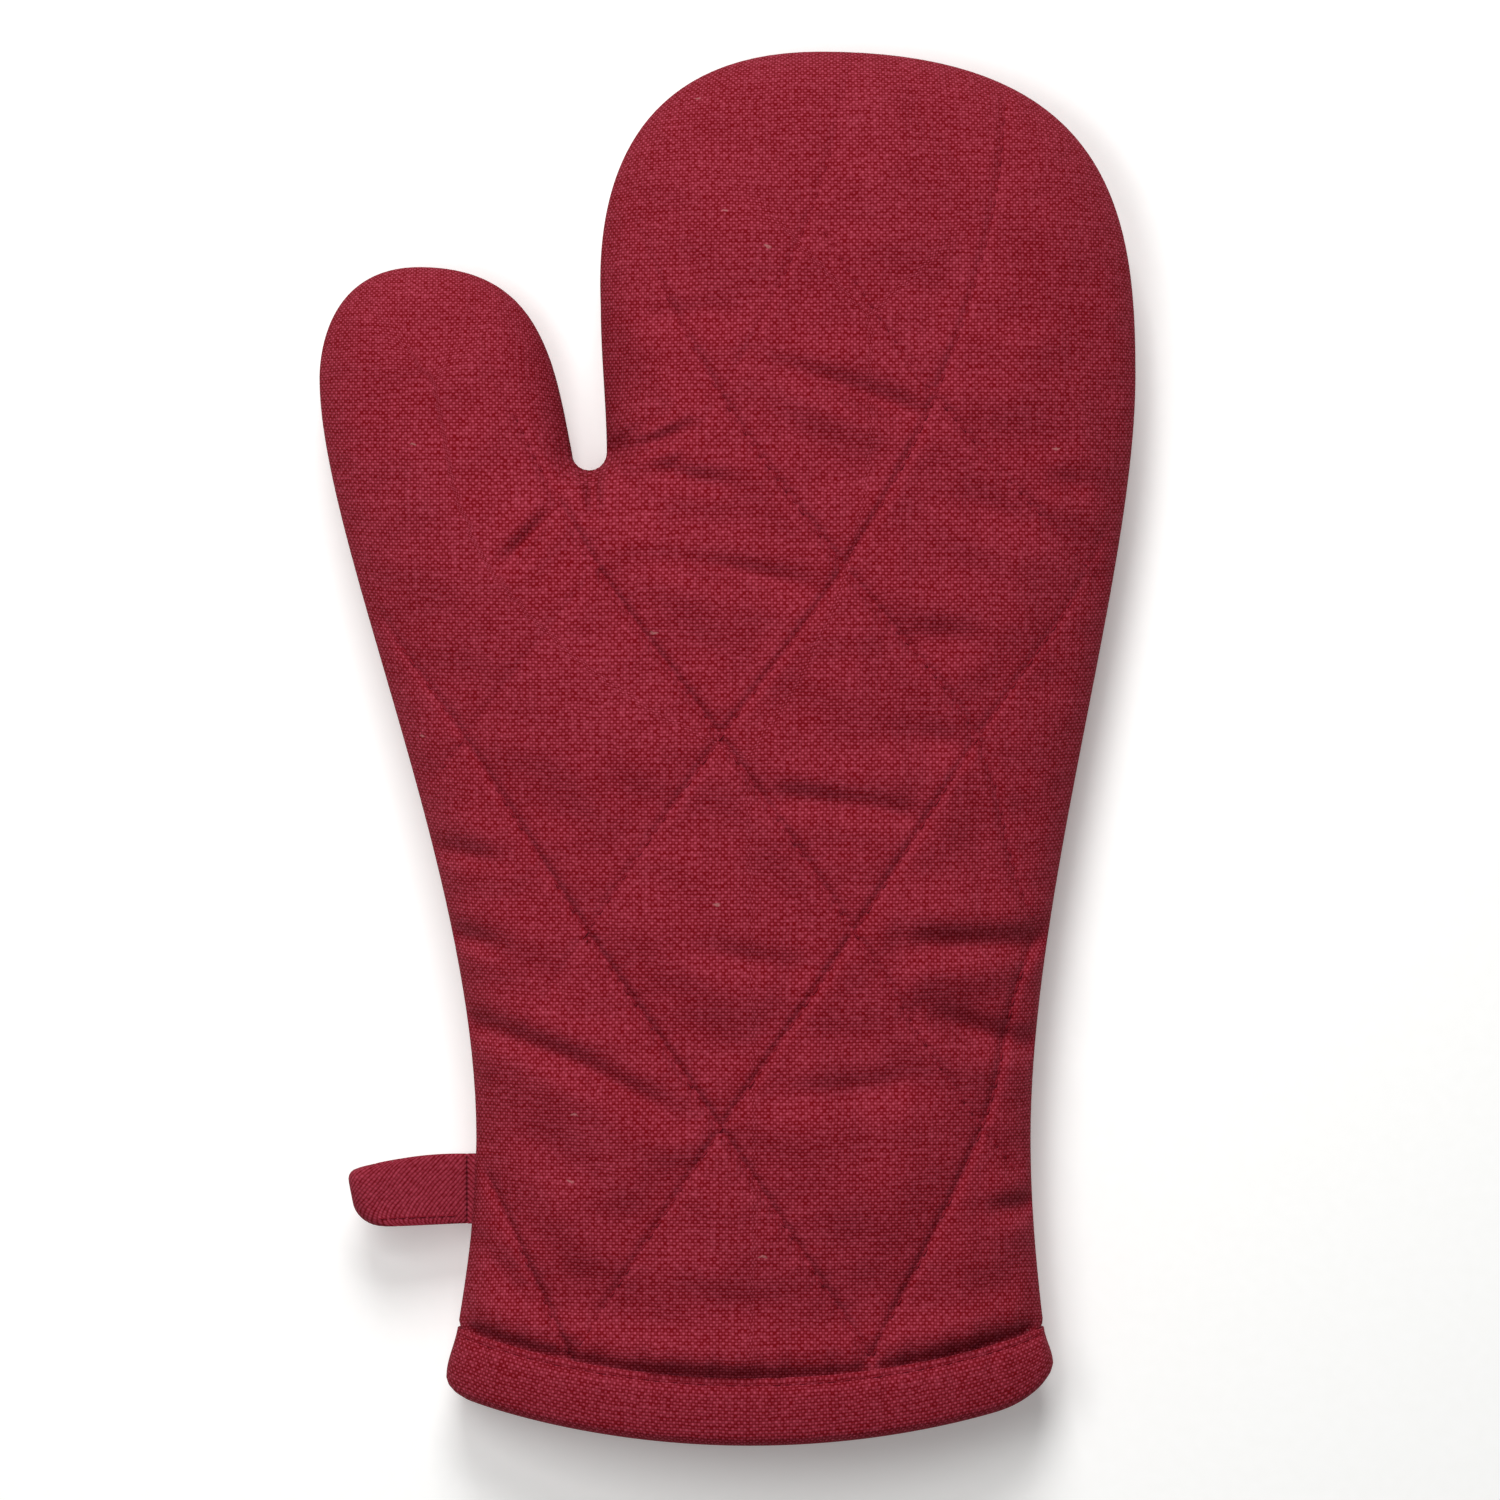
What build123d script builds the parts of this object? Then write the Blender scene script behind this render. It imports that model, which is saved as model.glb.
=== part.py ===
from build123d import *
import math
import os
import numpy as np

# A quilted oven mitt lying flat, back panel down, fingertips towards +Y, thumb towards -X.
# The origin is on the table, under the middle of the mitt. All sizes are in millimetres.

# Overall size of the mitt
MITT_LENGTH = 300.0
MITT_WIDTH = 176.0

# Hand and fingers, seen from above
HAND_SIDE_Y = 80.0
FINGERTIP_X = 20.0
FINGER_INNER_X = -27.4
FINGER_INNER_Y = 94.0

# Thumb, and the slit between thumb and fingers
THUMB_TIP_X = -66.4
THUMB_TIP_Y = 103.6
THUMB_SIDE_Y = 79.5
THUMB_INNER_RUN = 18.5
THUMB_INNER_LEAN = 3.7
THUMB_TIP_RUN = 27.0
SLIT_X = -29.8
SLIT_Y = 59.8
SLIT_WIDTH = 7.4

# Wrist and cuff
WRIST_Y = -84.0
WRIST_LEFT_X = -54.2
WRIST_RIGHT_X = 65.4
FLARE_Y = -137.0
FLARE_LEFT_X = -59.6
FLARE_RIGHT_X = 69.5
CUFF_MIDDLE_X = 4.9
CUFF_RADIUS = 210.0

# Heights: the side seam above the table, and the two panels from the seam
SEAM_HEIGHT = 15.0
FRONT_CROWN = 21.0
BACK_ROUNDING = 8.0
REST_FLAT = 0.1
HEM_DRAW = 2.2

# Cloth layers and the spaces between them
COVER_CLOTH = 1.0
BATTING = 4.2
LINING_CLOTH = 0.7
LAYER_GAP = 0.35
SEAM_GAP = 0.6

# Diamond quilting: its rows of crossings from the fingertips down, and half a column's width in each
QUILT_X = -1.4
QUILT_ROW_Y = (156.9, 114.9, 75.0, 38.3, 2.0, -39.4, -81.4, -130.4)
QUILT_HALF_COLUMN = (15.5, 19.4, 22.9, 26.3, 27.4, 28.5, 28.0, 32.1)
QUILT_MARGIN = 7.0
THUMB_BARE_Y = 30.0
# The outermost crossing at the wrist, by column and row, drawn in to the side seam
DRAWN_CROSSING = (3, 5)
DRAWN_X = 67.4

# The furrows that the quilting presses into cover and batting, and its thread
FURROW_WIDTH = 5.0
FURROW_DEPTH = 1.6
THREAD = 0.35
THREAD_WIDTH = 0.6
THREAD_SEAT = 0.05

# Binding round the mouth
BINDING_CLOTH = 1.0
BINDING_WIDTH = 14.0
STITCH_INSET = 1.6

# Hanging loop, a folded strip caught in the side seam
LOOP_Y = -95.1
LOOP_WIDTH = 15.0
LOOP_REACH = 24.4
LOOP_PLY = 1.2
LOOP_EYE = 6.0
LOOP_ROOT = 3.0
LOOP_TAIL = 4.0
LOOP_SHOULDER = 0.6
LOOP_UPPER_ROUND = 3.0
LOOP_LOWER_ROUND = 6.0
LOOP_STITCH_INSET = 2.0
SWING_GAP = 0.3

# Thread of the side seam, between the edges of the two covers
SEAM_THREAD_INSET = 0.2

# Sizes that follow from those above
HALF_WIDTH = MITT_WIDTH / 2
TOP_Y = MITT_LENGTH / 2
CUFF_EDGE_Y = BINDING_CLOTH + LAYER_GAP - MITT_LENGTH / 2
BATTING_INSET = COVER_CLOTH + LAYER_GAP
LINING_INSET = BATTING_INSET + BATTING + LAYER_GAP
WALL = LINING_INSET + LINING_CLOTH
BINDING_REACH = BINDING_CLOTH + LAYER_GAP
TALL = 4 * (SEAM_HEIGHT + FRONT_CROWN)

# Where the arcs of a cross-section meet, as shares of a lobe's width
FRONT_BREAKS = (0.0, 0.05, 0.25, 0.75, 0.95, 1.0)
BACK_BREAKS = (0.0, 0.04, 0.12, 0.3, 0.7, 0.88, 0.96, 1.0)
# Cross-sections, as distances from the tips, from the slit's end and from the wrist
TIP_STEPS = (0.3, 1.8, 5.0, 11.0, 20.0, 34.0, 56.0)
THUMB_STEPS = (0.3, 1.8, 5.0, 11.0, 24.1)
SLIT_STEPS = (0.0, 0.8, 3.0, 9.0)
PALM_STEPS = (0.0, 0.8, 2.5, 7.0, 16.0, 34.0, 66.0)
WRIST_STEPS = (32.0, 0.0)
CUFF_STEPS = (-24.0, -38.0, -80.0)
# How finely the outline is followed
CURVE_POINTS = 40
FIELD_STEP = 0.7
FIELD_TAIL = 100.0


def bezier(p0, p1, p2, p3):
    """Points along one cubic curve, both ends included."""
    t = np.linspace(0.0, 1.0, CURVE_POINTS)[:, None]
    a, b, c, d = (np.array(p, float) for p in (p0, p1, p2, p3))
    return (1 - t) ** 3 * a + 3 * t * (1 - t) ** 2 * b + 3 * t**2 * (1 - t) * c + t**3 * d


def sway(p, q, start, end):
    """A curve that leaves p and reaches q along Y; start and end are its shares of straight run."""
    rise = q[1] - p[1]
    return bezier(p, (p[0], p[1] + start * rise), (q[0], q[1] - end * rise), q)


def turn(p, q, start, end):
    """A curve that leaves p along Y and reaches q along X."""
    return bezier(p, (p[0], p[1] + start * (q[1] - p[1])), (q[0] - end * (q[0] - p[0]), q[1]), q)


def outline_branches():
    """The outline counterclockwise: little-finger side, finger side of the slit, thumb side of it, thumb."""
    foot_y = FLARE_Y - FIELD_TAIL
    cuff_right, wrist_right = (FLARE_RIGHT_X, FLARE_Y), (WRIST_RIGHT_X, WRIST_Y)
    cuff_left, wrist_left = (FLARE_LEFT_X, FLARE_Y), (WRIST_LEFT_X, WRIST_Y)
    hand_side, fingertip = (HALF_WIDTH, HAND_SIDE_Y), (FINGERTIP_X, TOP_Y)
    finger_inner = (FINGER_INNER_X, FINGER_INNER_Y)
    slit_end = (SLIT_X, SLIT_Y)
    slit_right = (SLIT_X + SLIT_WIDTH / 2, SLIT_Y + SLIT_WIDTH / 2)
    slit_left = (SLIT_X - SLIT_WIDTH / 2, SLIT_Y + SLIT_WIDTH / 2)
    thumb_tip, thumb_side = (THUMB_TIP_X, THUMB_TIP_Y), (-HALF_WIDTH, THUMB_SIDE_Y)
    thumb_lean = (slit_left[0] - THUMB_INNER_LEAN, slit_left[1] + THUMB_INNER_RUN)
    right = [
        sway((FLARE_RIGHT_X, foot_y), cuff_right, 0.5, 0.1),
        sway(cuff_right, wrist_right, 0.1, 0.485),
        sway(wrist_right, hand_side, 0.325, 0.255),
        turn(hand_side, fingertip, 0.47, 0.95),
    ]
    fingers = [
        turn(finger_inner, fingertip, 0.15, 1.1)[::-1],
        sway(finger_inner, slit_right, 0.3, 0.3),
        turn(slit_right, slit_end, 0.55, 0.55),
    ]
    thumb_inner = [
        turn(slit_left, slit_end, 0.55, 0.55)[::-1],
        bezier(slit_left, thumb_lean, (thumb_tip[0] + THUMB_TIP_RUN, thumb_tip[1]), thumb_tip),
    ]
    left = [
        turn(thumb_side, thumb_tip, 0.3, 0.87)[::-1],
        sway(wrist_left, thumb_side, 0.35, 0.21)[::-1],
        sway(cuff_left, wrist_left, 0.163, 0.477)[::-1],
        sway((FLARE_LEFT_X, foot_y), cuff_left, 0.5, 0.1)[::-1],
    ]
    return [np.concatenate(branch) for branch in (right, fingers, thumb_inner, left)]


class Outline:
    """The mitt's outline drawn in by an inset, with its sides and its room for a crown."""

    def __init__(self, inset):
        branches = outline_branches()
        points = np.concatenate(branches)
        owner = np.repeat(np.arange(4), [len(branch) for branch in branches])
        fresh = np.append(True, np.linalg.norm(np.diff(points, axis=0), axis=1) > 1e-6)
        points, owner = points[fresh], owner[fresh]
        along = np.roll(points, -1, 0) - np.roll(points, 1, 0)
        along /= np.linalg.norm(along, axis=1)[:, None]
        moved = points - inset * np.stack([along[:, 1], -along[:, 0]], 1)
        by_slit = (np.abs(points[:, 0] - SLIT_X) < SLIT_WIDTH) & (owner > 0) & (owner < 3)
        tip = np.argmax(np.where(owner < 2, moved[:, 1], -np.inf))
        slit = np.argmin(np.where(by_slit, moved[:, 1], np.inf))
        thumb = np.argmax(np.where(owner > 1, moved[:, 1], -np.inf))
        self.right, self.fingers = moved[: tip + 1], moved[tip : slit + 1]
        self.thumb_inner, self.left = moved[slit : thumb + 1], moved[thumb:]
        self.tip_y, self.thumb_y = moved[tip, 1], moved[thumb, 1]
        self.slit_x, self.slit_y = moved[slit]
        ring = np.append(moved, moved[:1], axis=0)
        run = np.append(0.0, np.cumsum(np.linalg.norm(np.diff(ring, axis=0), axis=1)))
        even = np.linspace(0.0, run[-1], int(run[-1] / FIELD_STEP), endpoint=False)
        self.line = np.stack([np.interp(even, run, ring[:, k]) for k in (0, 1)], 1)
        step = (np.roll(self.line, -1, 0) - np.roll(self.line, 1, 0)) / 2
        self.outward = np.stack([step[:, 1], -step[:, 0]], 1)
        self.middle = self.room(CUFF_MIDDLE_X, 0.0)

    def side(self, branch, y):
        """The X of one side at a given Y."""
        order = np.argsort(branch[:, 1])
        return float(np.interp(y, branch[order, 1], branch[order, 0]))

    def room(self, x, y):
        """A smooth distance to the outline, averaged over all directions."""
        to_line = self.line - np.array([x, y])
        run = np.roll(self.line, -1, 0) - self.line
        share = np.clip(-(to_line * run).sum(1) / (run * run).sum(1), 0.0, 1.0)
        nearest = np.linalg.norm(to_line + share[:, None] * run, axis=1).min()
        if nearest < FIELD_STEP:
            return float(nearest)
        far = np.linalg.norm(to_line, axis=1)
        return float(2.0 / ((self.outward * to_line).sum(1) / far**3).sum())

    def stations(self):
        """The Y of each cross-section of the palm, the thumb and the fingers."""
        palm = [self.slit_y - step for step in PALM_STEPS]
        palm += [WRIST_Y + step for step in WRIST_STEPS + CUFF_STEPS]
        slit = [self.slit_y + step for step in SLIT_STEPS]
        thumb = slit + [self.thumb_y - step for step in reversed(THUMB_STEPS)]
        fingers = slit + [self.tip_y - step for step in reversed(TIP_STEPS)]
        return palm, thumb, fingers

    def lobe_ends(self, left, right, y):
        """Where a lobe of the cross-section starts and ends; both lobes meet at the slit's end."""
        at_slit = y == self.slit_y
        start = self.slit_x if at_slit and left is self.fingers else self.side(left, y)
        end = self.slit_x if at_slit and right is self.thumb_inner else self.side(right, y)
        return start, end

    def footprint(self):
        """The plan of the solids that are lofted through these cross-sections."""
        palm, thumb, fingers = self.stations()
        path = [(self.side(self.right, y), y) for y in reversed(palm[1:])]
        path += [(self.side(self.right, y), y) for y in fingers]
        path += [(self.lobe_ends(self.fingers, self.right, y)[0], y) for y in reversed(fingers)]
        path += [(self.lobe_ends(self.left, self.thumb_inner, y)[1], y) for y in thumb[1:]]
        path += [(self.side(self.left, y), y) for y in reversed(thumb)]
        path += [(self.side(self.left, y), y) for y in palm[1:]]
        return make_face(Polyline(*path, close=True))


def arc_edge(p, m, q):
    """An arc from p to q through m, or a line where the three are in line."""
    bend = np.linalg.norm(np.cross(np.subtract(m, p), np.subtract(q, p)))
    if bend < 2e-3 * math.dist(p, q):
        return Line(p, q)
    return ThreePointArc(p, m, q)


class Half:
    """One side of the mitt, from the seam out to a surface that lies an inset inside the cover's face."""

    def __init__(self, inset, front, gap=SEAM_GAP):
        self.inset, self.front = inset, front
        self.outline = Outline(inset)
        self.base = SEAM_HEIGHT + (gap / 2 if front else -gap / 2)

    def height(self, x, y, drawn):
        """The surface's Z: an elliptic crown in front, and rounded sides to a flat at the back."""
        room = max(self.outline.room(x, y), 0.0)
        if self.front:
            crown = FRONT_CROWN - self.inset - drawn
            return self.base + crown * math.sqrt(room / self.outline.middle)
        short = max(0.0, 1.0 - room / BACK_ROUNDING)
        depth = self.base - self.inset - drawn + REST_FLAT
        return self.base - depth * math.sqrt(1.0 - short**2)

    def lobe(self, xa, xb, y, za, zb, drawn):
        """The arcs across one lobe, with lines where the surface is flat."""
        breaks = FRONT_BREAKS if self.front else BACK_BREAKS
        xs = [xa + share * (xb - xa) for share in breaks]
        zs = [za] + [self.height(x, y, drawn) for x in xs[1:-1]] + [zb]
        edges = []
        for i in range(len(xs) - 1):
            xm = (xs[i] + xs[i + 1]) / 2
            middle = (xm, y, self.height(xm, y, drawn))
            edges.append(arc_edge((xs[i], y, zs[i]), middle, (xs[i + 1], y, zs[i + 1])))
        return edges

    def palm_section(self, y, drawn=0.0):
        """A cross-section below the slit: the thumb's lobe and the fingers' lobe, joined."""
        o = self.outline
        xa, xb = o.side(o.left, y), o.side(o.right, y)
        zm = self.base if y == o.slit_y else self.height(o.slit_x, y, drawn)
        thumb = self.lobe(xa, o.slit_x, y, self.base, zm, drawn)
        fingers = self.lobe(o.slit_x, xb, y, zm, self.base, drawn)
        return Wire(thumb + fingers + [Line((xb, y, self.base), (xa, y, self.base))])

    def lobe_section(self, left, right, y):
        """A cross-section of the thumb alone, or of the fingers alone."""
        xa, xb = self.outline.lobe_ends(left, right, y)
        arcs = self.lobe(xa, xb, y, self.base, self.base, 0.0)
        return Wire(arcs + [Line((xb, y, self.base), (xa, y, self.base))])

    def cuff_sections(self):
        """The cross-sections at the cuff, which the binding draws in."""
        first = self.palm_section(WRIST_Y + CUFF_STEPS[0])
        return [first] + [self.palm_section(WRIST_Y + step, HEM_DRAW) for step in CUFF_STEPS[1:]]

    def solid(self):
        """The whole half, filled, with its cuff running on past the mouth."""
        o = self.outline
        palm_ys, thumb_ys, finger_ys = o.stations()
        palm = [self.palm_section(y) for y in palm_ys[: -len(CUFF_STEPS)]] + self.cuff_sections()
        thumb = [self.lobe_section(o.left, o.thumb_inner, y) for y in thumb_ys]
        fingers = [self.lobe_section(o.fingers, o.right, y) for y in finger_ys]
        lofts = [Solid.make_loft(wires, ruled=True) for wires in (palm, thumb, fingers)]
        return lofts[0].fuse(lofts[1], lofts[2])


def cuff_disc(reach):
    """Everything above the mouth's curved edge, with the edge moved out by reach."""
    middle = Pos(CUFF_MIDDLE_X, CUFF_EDGE_Y + CUFF_RADIUS, SEAM_HEIGHT)
    return middle * Cylinder(CUFF_RADIUS + reach, TALL)


def cuff_lens(inset):
    """The cuff, filled, with its front and back joined at the seam."""
    halves = [Half(inset, front, 0.0) for front in (True, False)]
    lofts = [Solid.make_loft(half.cuff_sections(), ruled=True) for half in halves]
    return lofts[0].fuse(lofts[1])


def quilt_line(first, lean, width):
    """One quilting line from above, a column over in each row, as a band of the given width."""
    points = []
    for row, (y, half_column) in enumerate(zip(QUILT_ROW_Y, QUILT_HALF_COLUMN)):
        column = first + lean * row
        drawn = (column, row) == DRAWN_CROSSING
        points.append((DRAWN_X if drawn else QUILT_X + column * half_column, y))
    points = np.array(points)
    along = np.gradient(points, axis=0)
    across = np.stack([along[:, 1], -along[:, 0]], 1) / np.linalg.norm(along, axis=1)[:, None]
    ring = np.concatenate([points + across * width / 2, (points - across * width / 2)[::-1]])
    return make_face(Polyline(*[tuple(point) for point in ring.tolist()], close=True))


def quilt_lines(width, front):
    """Both families of quilting lines as upright walls on one side of the seam."""
    count = len(QUILT_ROW_Y)
    firsts = range(-count, count + 1, 2)
    lines = Sketch() + [quilt_line(first, lean, width) for lean in (1, -1) for first in firsts]
    mouth_middle = Pos(CUFF_MIDDLE_X, CUFF_EDGE_Y + CUFF_RADIUS)
    above_binding = mouth_middle * Circle(CUFF_RADIUS - BINDING_WIDTH - QUILT_MARGIN)
    thumb = Pos(SLIT_X - HALF_WIDTH, THUMB_BARE_Y + HALF_WIDTH) * Rectangle(MITT_WIDTH, MITT_WIDTH)
    plan = (lines & Outline(QUILT_MARGIN).footprint() & above_binding) - thumb
    return Pos(0, 0, SEAM_HEIGHT) * extrude(plan, TALL if front else -TALL)


def quilted_half(inset, front):
    """One side filled out to a surface, with the quilting's furrows pressed into it."""
    furrows = quilt_lines(FURROW_WIDTH + 2 * inset, front) - Half(inset + FURROW_DEPTH, front).solid()
    return Half(inset, front).solid() - furrows


def quilted_cover(front):
    """A cover panel that follows its furrows, flat where the back rests."""
    cover = (quilted_half(0.0, front) - quilted_half(COVER_CLOTH, front)) & cuff_disc(0.0)
    table = Pos(0, 0, -TALL / 2) * Box(2 * MITT_LENGTH, 2 * MITT_LENGTH, TALL)
    return cover - table


def batting(front):
    """The wadding under a cover, pressed thinner along the furrows."""
    return (quilted_half(BATTING_INSET, front) - Half(BATTING_INSET + BATTING, front).solid()) & cuff_disc(0.0)


def lining(front):
    """The smooth inner cloth, open at the mouth and at the seam."""
    cloth = Half(LINING_INSET, front).solid() - Half(LINING_INSET + LINING_CLOTH, front).solid()
    return cloth & cuff_disc(0.0)


def quilting_thread(front):
    """The thread that lies along the floor of the furrows."""
    under = FURROW_DEPTH - THREAD_SEAT
    lines = quilt_lines(THREAD_WIDTH, front) & Half(under - THREAD, front).solid()
    return lines - Half(under, front).solid()


def side_seam():
    """The seam's thread, between the edges of the front and back covers."""
    outer = Outline(SEAM_THREAD_INSET).footprint()
    inner = Outline(SEAM_THREAD_INSET + THREAD_WIDTH).footprint()
    height = SEAM_GAP - 2 * THREAD_SEAT
    thread = Pos(0, 0, SEAM_HEIGHT - height / 2) * extrude(outer - inner, height)
    return thread & cuff_disc(0.0)


def cuff_binding():
    """A strip folded over the mouth's edge, all the way round."""
    outside = (cuff_lens(-BINDING_REACH) & cuff_disc(BINDING_REACH)) - cuff_disc(-BINDING_WIDTH)
    wall = (cuff_lens(-LAYER_GAP) & cuff_disc(LAYER_GAP)) - cuff_lens(WALL + LAYER_GAP)
    return outside - wall - cuff_lens(WALL + BINDING_REACH)


def binding_stitching():
    """The line of thread along the binding's upper edge."""
    seat = BINDING_REACH + THREAD_SEAT
    ring = cuff_lens(-seat - THREAD) - cuff_lens(-seat)
    lower = STITCH_INSET + THREAD_WIDTH - BINDING_WIDTH
    return (ring & cuff_disc(lower)) - cuff_disc(STITCH_INSET - BINDING_WIDTH)


class Loop:
    """The hanging loop: a strip folded in two, swinging at the side seam about a line along Y."""

    def __init__(self):
        outline = Outline(0.0)
        ends = [outline.side(outline.left, LOOP_Y + end) for end in (-LOOP_WIDTH / 2, 0.0, LOOP_WIDTH / 2)]
        self.tail_outer = min(ends) - LOOP_SHOULDER
        self.tail_inner = max(ends) + LOOP_TAIL
        self.hinge_x = self.tail_outer - SWING_GAP - LOOP_PLY
        self.fold_radius = LOOP_EYE / 2 + LOOP_PLY
        self.fold_x = self.hinge_x - LOOP_REACH + self.fold_radius
        self.eye_x = self.hinge_x - LOOP_ROOT

    def side_view(self, y):
        """The plane that looks at the loop from the side, with X across and Z up."""
        return Plane((0, y, SEAM_HEIGHT), x_dir=(1, 0, 0), z_dir=(0, -1, 0))

    def drop(self, grow):
        """The loop from the side, grown all round: a round root and a rounder fold."""
        root = Pos(self.hinge_x, 0) * Circle(LOOP_PLY + grow)
        fold = Pos(self.fold_x, 0) * Circle(self.fold_radius + grow)
        return make_hull(root.edges() + fold.edges())

    def strap(self):
        """The free part of the loop, with its eye and its rounded corners."""
        root = Pos(self.eye_x, 0) * Circle(LOOP_PLY / 3)
        fold = Pos(self.fold_x, 0) * Circle(LOOP_EYE / 2)
        eye = make_hull(root.edges() + fold.edges())
        strip = extrude(self.side_view(LOOP_Y + LOOP_WIDTH / 2) * (self.drop(0.0) - eye), LOOP_WIDTH)
        length = LOOP_REACH + LOOP_PLY
        plan = Pos(self.hinge_x + LOOP_PLY - length / 2, LOOP_Y) * Rectangle(length, LOOP_WIDTH)
        upper = plan.vertices().sort_by(Axis.Y)[-2:].sort_by(Axis.X)[0]
        plan = fillet(upper, LOOP_UPPER_ROUND)
        lower = plan.vertices().sort_by(Axis.Y)[:2].sort_by(Axis.X)[0]
        plan = fillet(lower, LOOP_LOWER_ROUND)
        return strip & extrude(plan, TALL)

    def stitching(self):
        """The thread along the strip's open edge, on both plies."""
        band = self.drop(THREAD_SEAT + THREAD) - self.drop(THREAD_SEAT)
        run = self.eye_x - self.fold_x
        straight = Pos(self.fold_x + run / 2, 0) * Rectangle(run, 4 * LOOP_EYE)
        view = self.side_view(LOOP_Y - LOOP_WIDTH / 2 + LOOP_STITCH_INSET)
        return extrude(view * (band & straight), THREAD_WIDTH)

    def tail(self, clearance=0.0):
        """The end of the strip that the side seam holds, or the slot that it lies in."""
        length = self.tail_inner - self.tail_outer + 2 * clearance
        middle = Pos((self.tail_inner + self.tail_outer) / 2, LOOP_Y, SEAM_HEIGHT)
        return middle * Box(length, LOOP_WIDTH + 2 * clearance, 2 * (LOOP_PLY + clearance))


loop = Loop()
slot = loop.tail(LAYER_GAP)
nodes = {}
for face, front in (("front", True), ("back", False)):
    nodes[f"{face}_cover"] = quilted_cover(front) - slot
    nodes[f"{face}_batting"] = batting(front) - slot
    nodes[f"{face}_lining"] = lining(front)
    nodes[f"{face}_quilting"] = quilting_thread(front)
nodes["side_seam"] = side_seam() - slot
nodes["cuff_binding"] = cuff_binding()
nodes["binding_stitching"] = binding_stitching()
nodes["loop_tail"] = loop.tail()
nodes["hanging_loop"] = loop.strap()
nodes["loop_stitching"] = loop.stitching()

os.makedirs("parts", exist_ok=True)
for name, solid in nodes.items():
    export_step(solid, f"parts/{name}.step")
    print(f"{name}: {len(solid.solids())} solids, {solid.volume:.0f} cubic mm")
print(f"loop hinge at X {loop.hinge_x:.3f}, Y {LOOP_Y:.3f}, Z {SEAM_HEIGHT:.3f}")
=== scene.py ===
"""A quilted oven mitt of red cotton canvas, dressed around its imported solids.

Sizes are in millimetres until a mesh is made, and then in metres. The mitt lies on its back panel, with its
fingertips towards +Y, its thumb towards -X and its front panel up.
"""

import logging
import math
from dataclasses import dataclass, field
from enum import Enum
from functools import partial

import bpy
import numpy as np
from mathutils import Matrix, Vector
from mathutils.geometry import delaunay_2d_cdt


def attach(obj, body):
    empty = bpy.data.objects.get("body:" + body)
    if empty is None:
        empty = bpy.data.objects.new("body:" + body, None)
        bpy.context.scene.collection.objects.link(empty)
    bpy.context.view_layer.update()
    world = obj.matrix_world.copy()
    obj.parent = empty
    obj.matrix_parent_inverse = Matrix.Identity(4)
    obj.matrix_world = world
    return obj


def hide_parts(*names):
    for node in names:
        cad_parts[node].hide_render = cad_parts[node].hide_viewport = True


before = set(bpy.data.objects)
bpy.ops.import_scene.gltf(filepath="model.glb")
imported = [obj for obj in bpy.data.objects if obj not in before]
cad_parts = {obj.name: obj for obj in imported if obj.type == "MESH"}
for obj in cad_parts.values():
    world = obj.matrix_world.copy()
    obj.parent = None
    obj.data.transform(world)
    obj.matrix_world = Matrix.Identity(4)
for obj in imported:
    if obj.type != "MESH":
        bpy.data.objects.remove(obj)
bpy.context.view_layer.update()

Array = np.ndarray
Point = tuple[float, float]
Rows = tuple[float, ...]
Socket = bpy.types.NodeSocket
Tree = bpy.types.NodeTree
Finishes = dict[str, bpy.types.Material]

MM = 0.001
TINY = 1e-6
UV_UNIT = 100.0
UV_NAME = "cloth"
MITT_BODY = "mitt"
LOOP_BODY = "loop"
log = logging.getLogger("oven_mitt")


class Side(Enum):
    """Which of the two sewn panels a layer belongs to; the value is the way its outside faces along Z."""

    FRONT = 1
    BACK = -1


def smooth_step(value: Array, low: float, high: float) -> Array:
    """Rises from 0 at low to 1 at high as three times the square less twice the cube."""
    t = np.clip((value - low) / (high - low), 0.0, 1.0)
    return t * t * (3.0 - 2.0 * t)


def bell(distance: Array, width: float) -> Array:
    """A bell of height 1: e to the minus square of distance over width."""
    return np.exp(-np.square(distance / width))


def ripple(along: Array, period: float) -> Array:
    """An uneven ripple of about unit height: two sines whose periods have no common multiple."""
    angle = 2.0 * math.pi * along / period
    return 0.6 * np.sin(angle) + 0.4 * np.sin(1.618 * angle + 1.3)


def unit(rows: Array) -> Array:
    """Each row made one long."""
    return rows / np.maximum(np.linalg.norm(rows, axis=1), 1e-12)[:, None]


def right_of(along: Array) -> Array:
    """Directions in the plane, each turned a quarter clockwise."""
    return np.stack([along[:, 1], -along[:, 0]], 1)


def run_of(path: Array) -> Array:
    """The running length of a polyline at each of its points."""
    return np.append(0.0, np.cumsum(np.linalg.norm(np.diff(path, axis=0), axis=1)))


def evenly(path: Array, spacing: float) -> Array:
    """Points at an even spacing along a polyline, both ends included.

    Args:
        path: the polyline's points.
        spacing: about how far apart the new points are.

    Returns:
        The new points.
    """
    run = run_of(path)
    even = np.linspace(0.0, run[-1], max(2, int(round(run[-1] / spacing)) + 1))
    return np.stack([np.interp(even, run, path[:, k]) for k in range(path.shape[1])], 1)


def cubic(p0: Point, p1: Point, p2: Point, p3: Point, count: int = 40) -> Array:
    """Points along one cubic Bezier curve, both ends included.

    Args:
        p0: where it starts.
        p1: what it leaves towards.
        p2: what it arrives from.
        p3: where it ends.
        count: how many points.

    Returns:
        X and Y of the points.
    """
    t = np.linspace(0.0, 1.0, count)[:, None]
    a, b, c, d = (np.array(p, float) for p in (p0, p1, p2, p3))
    return (1 - t) ** 3 * a + 3 * t * (1 - t) ** 2 * b + 3 * t**2 * (1 - t) * c + t**3 * d


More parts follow.
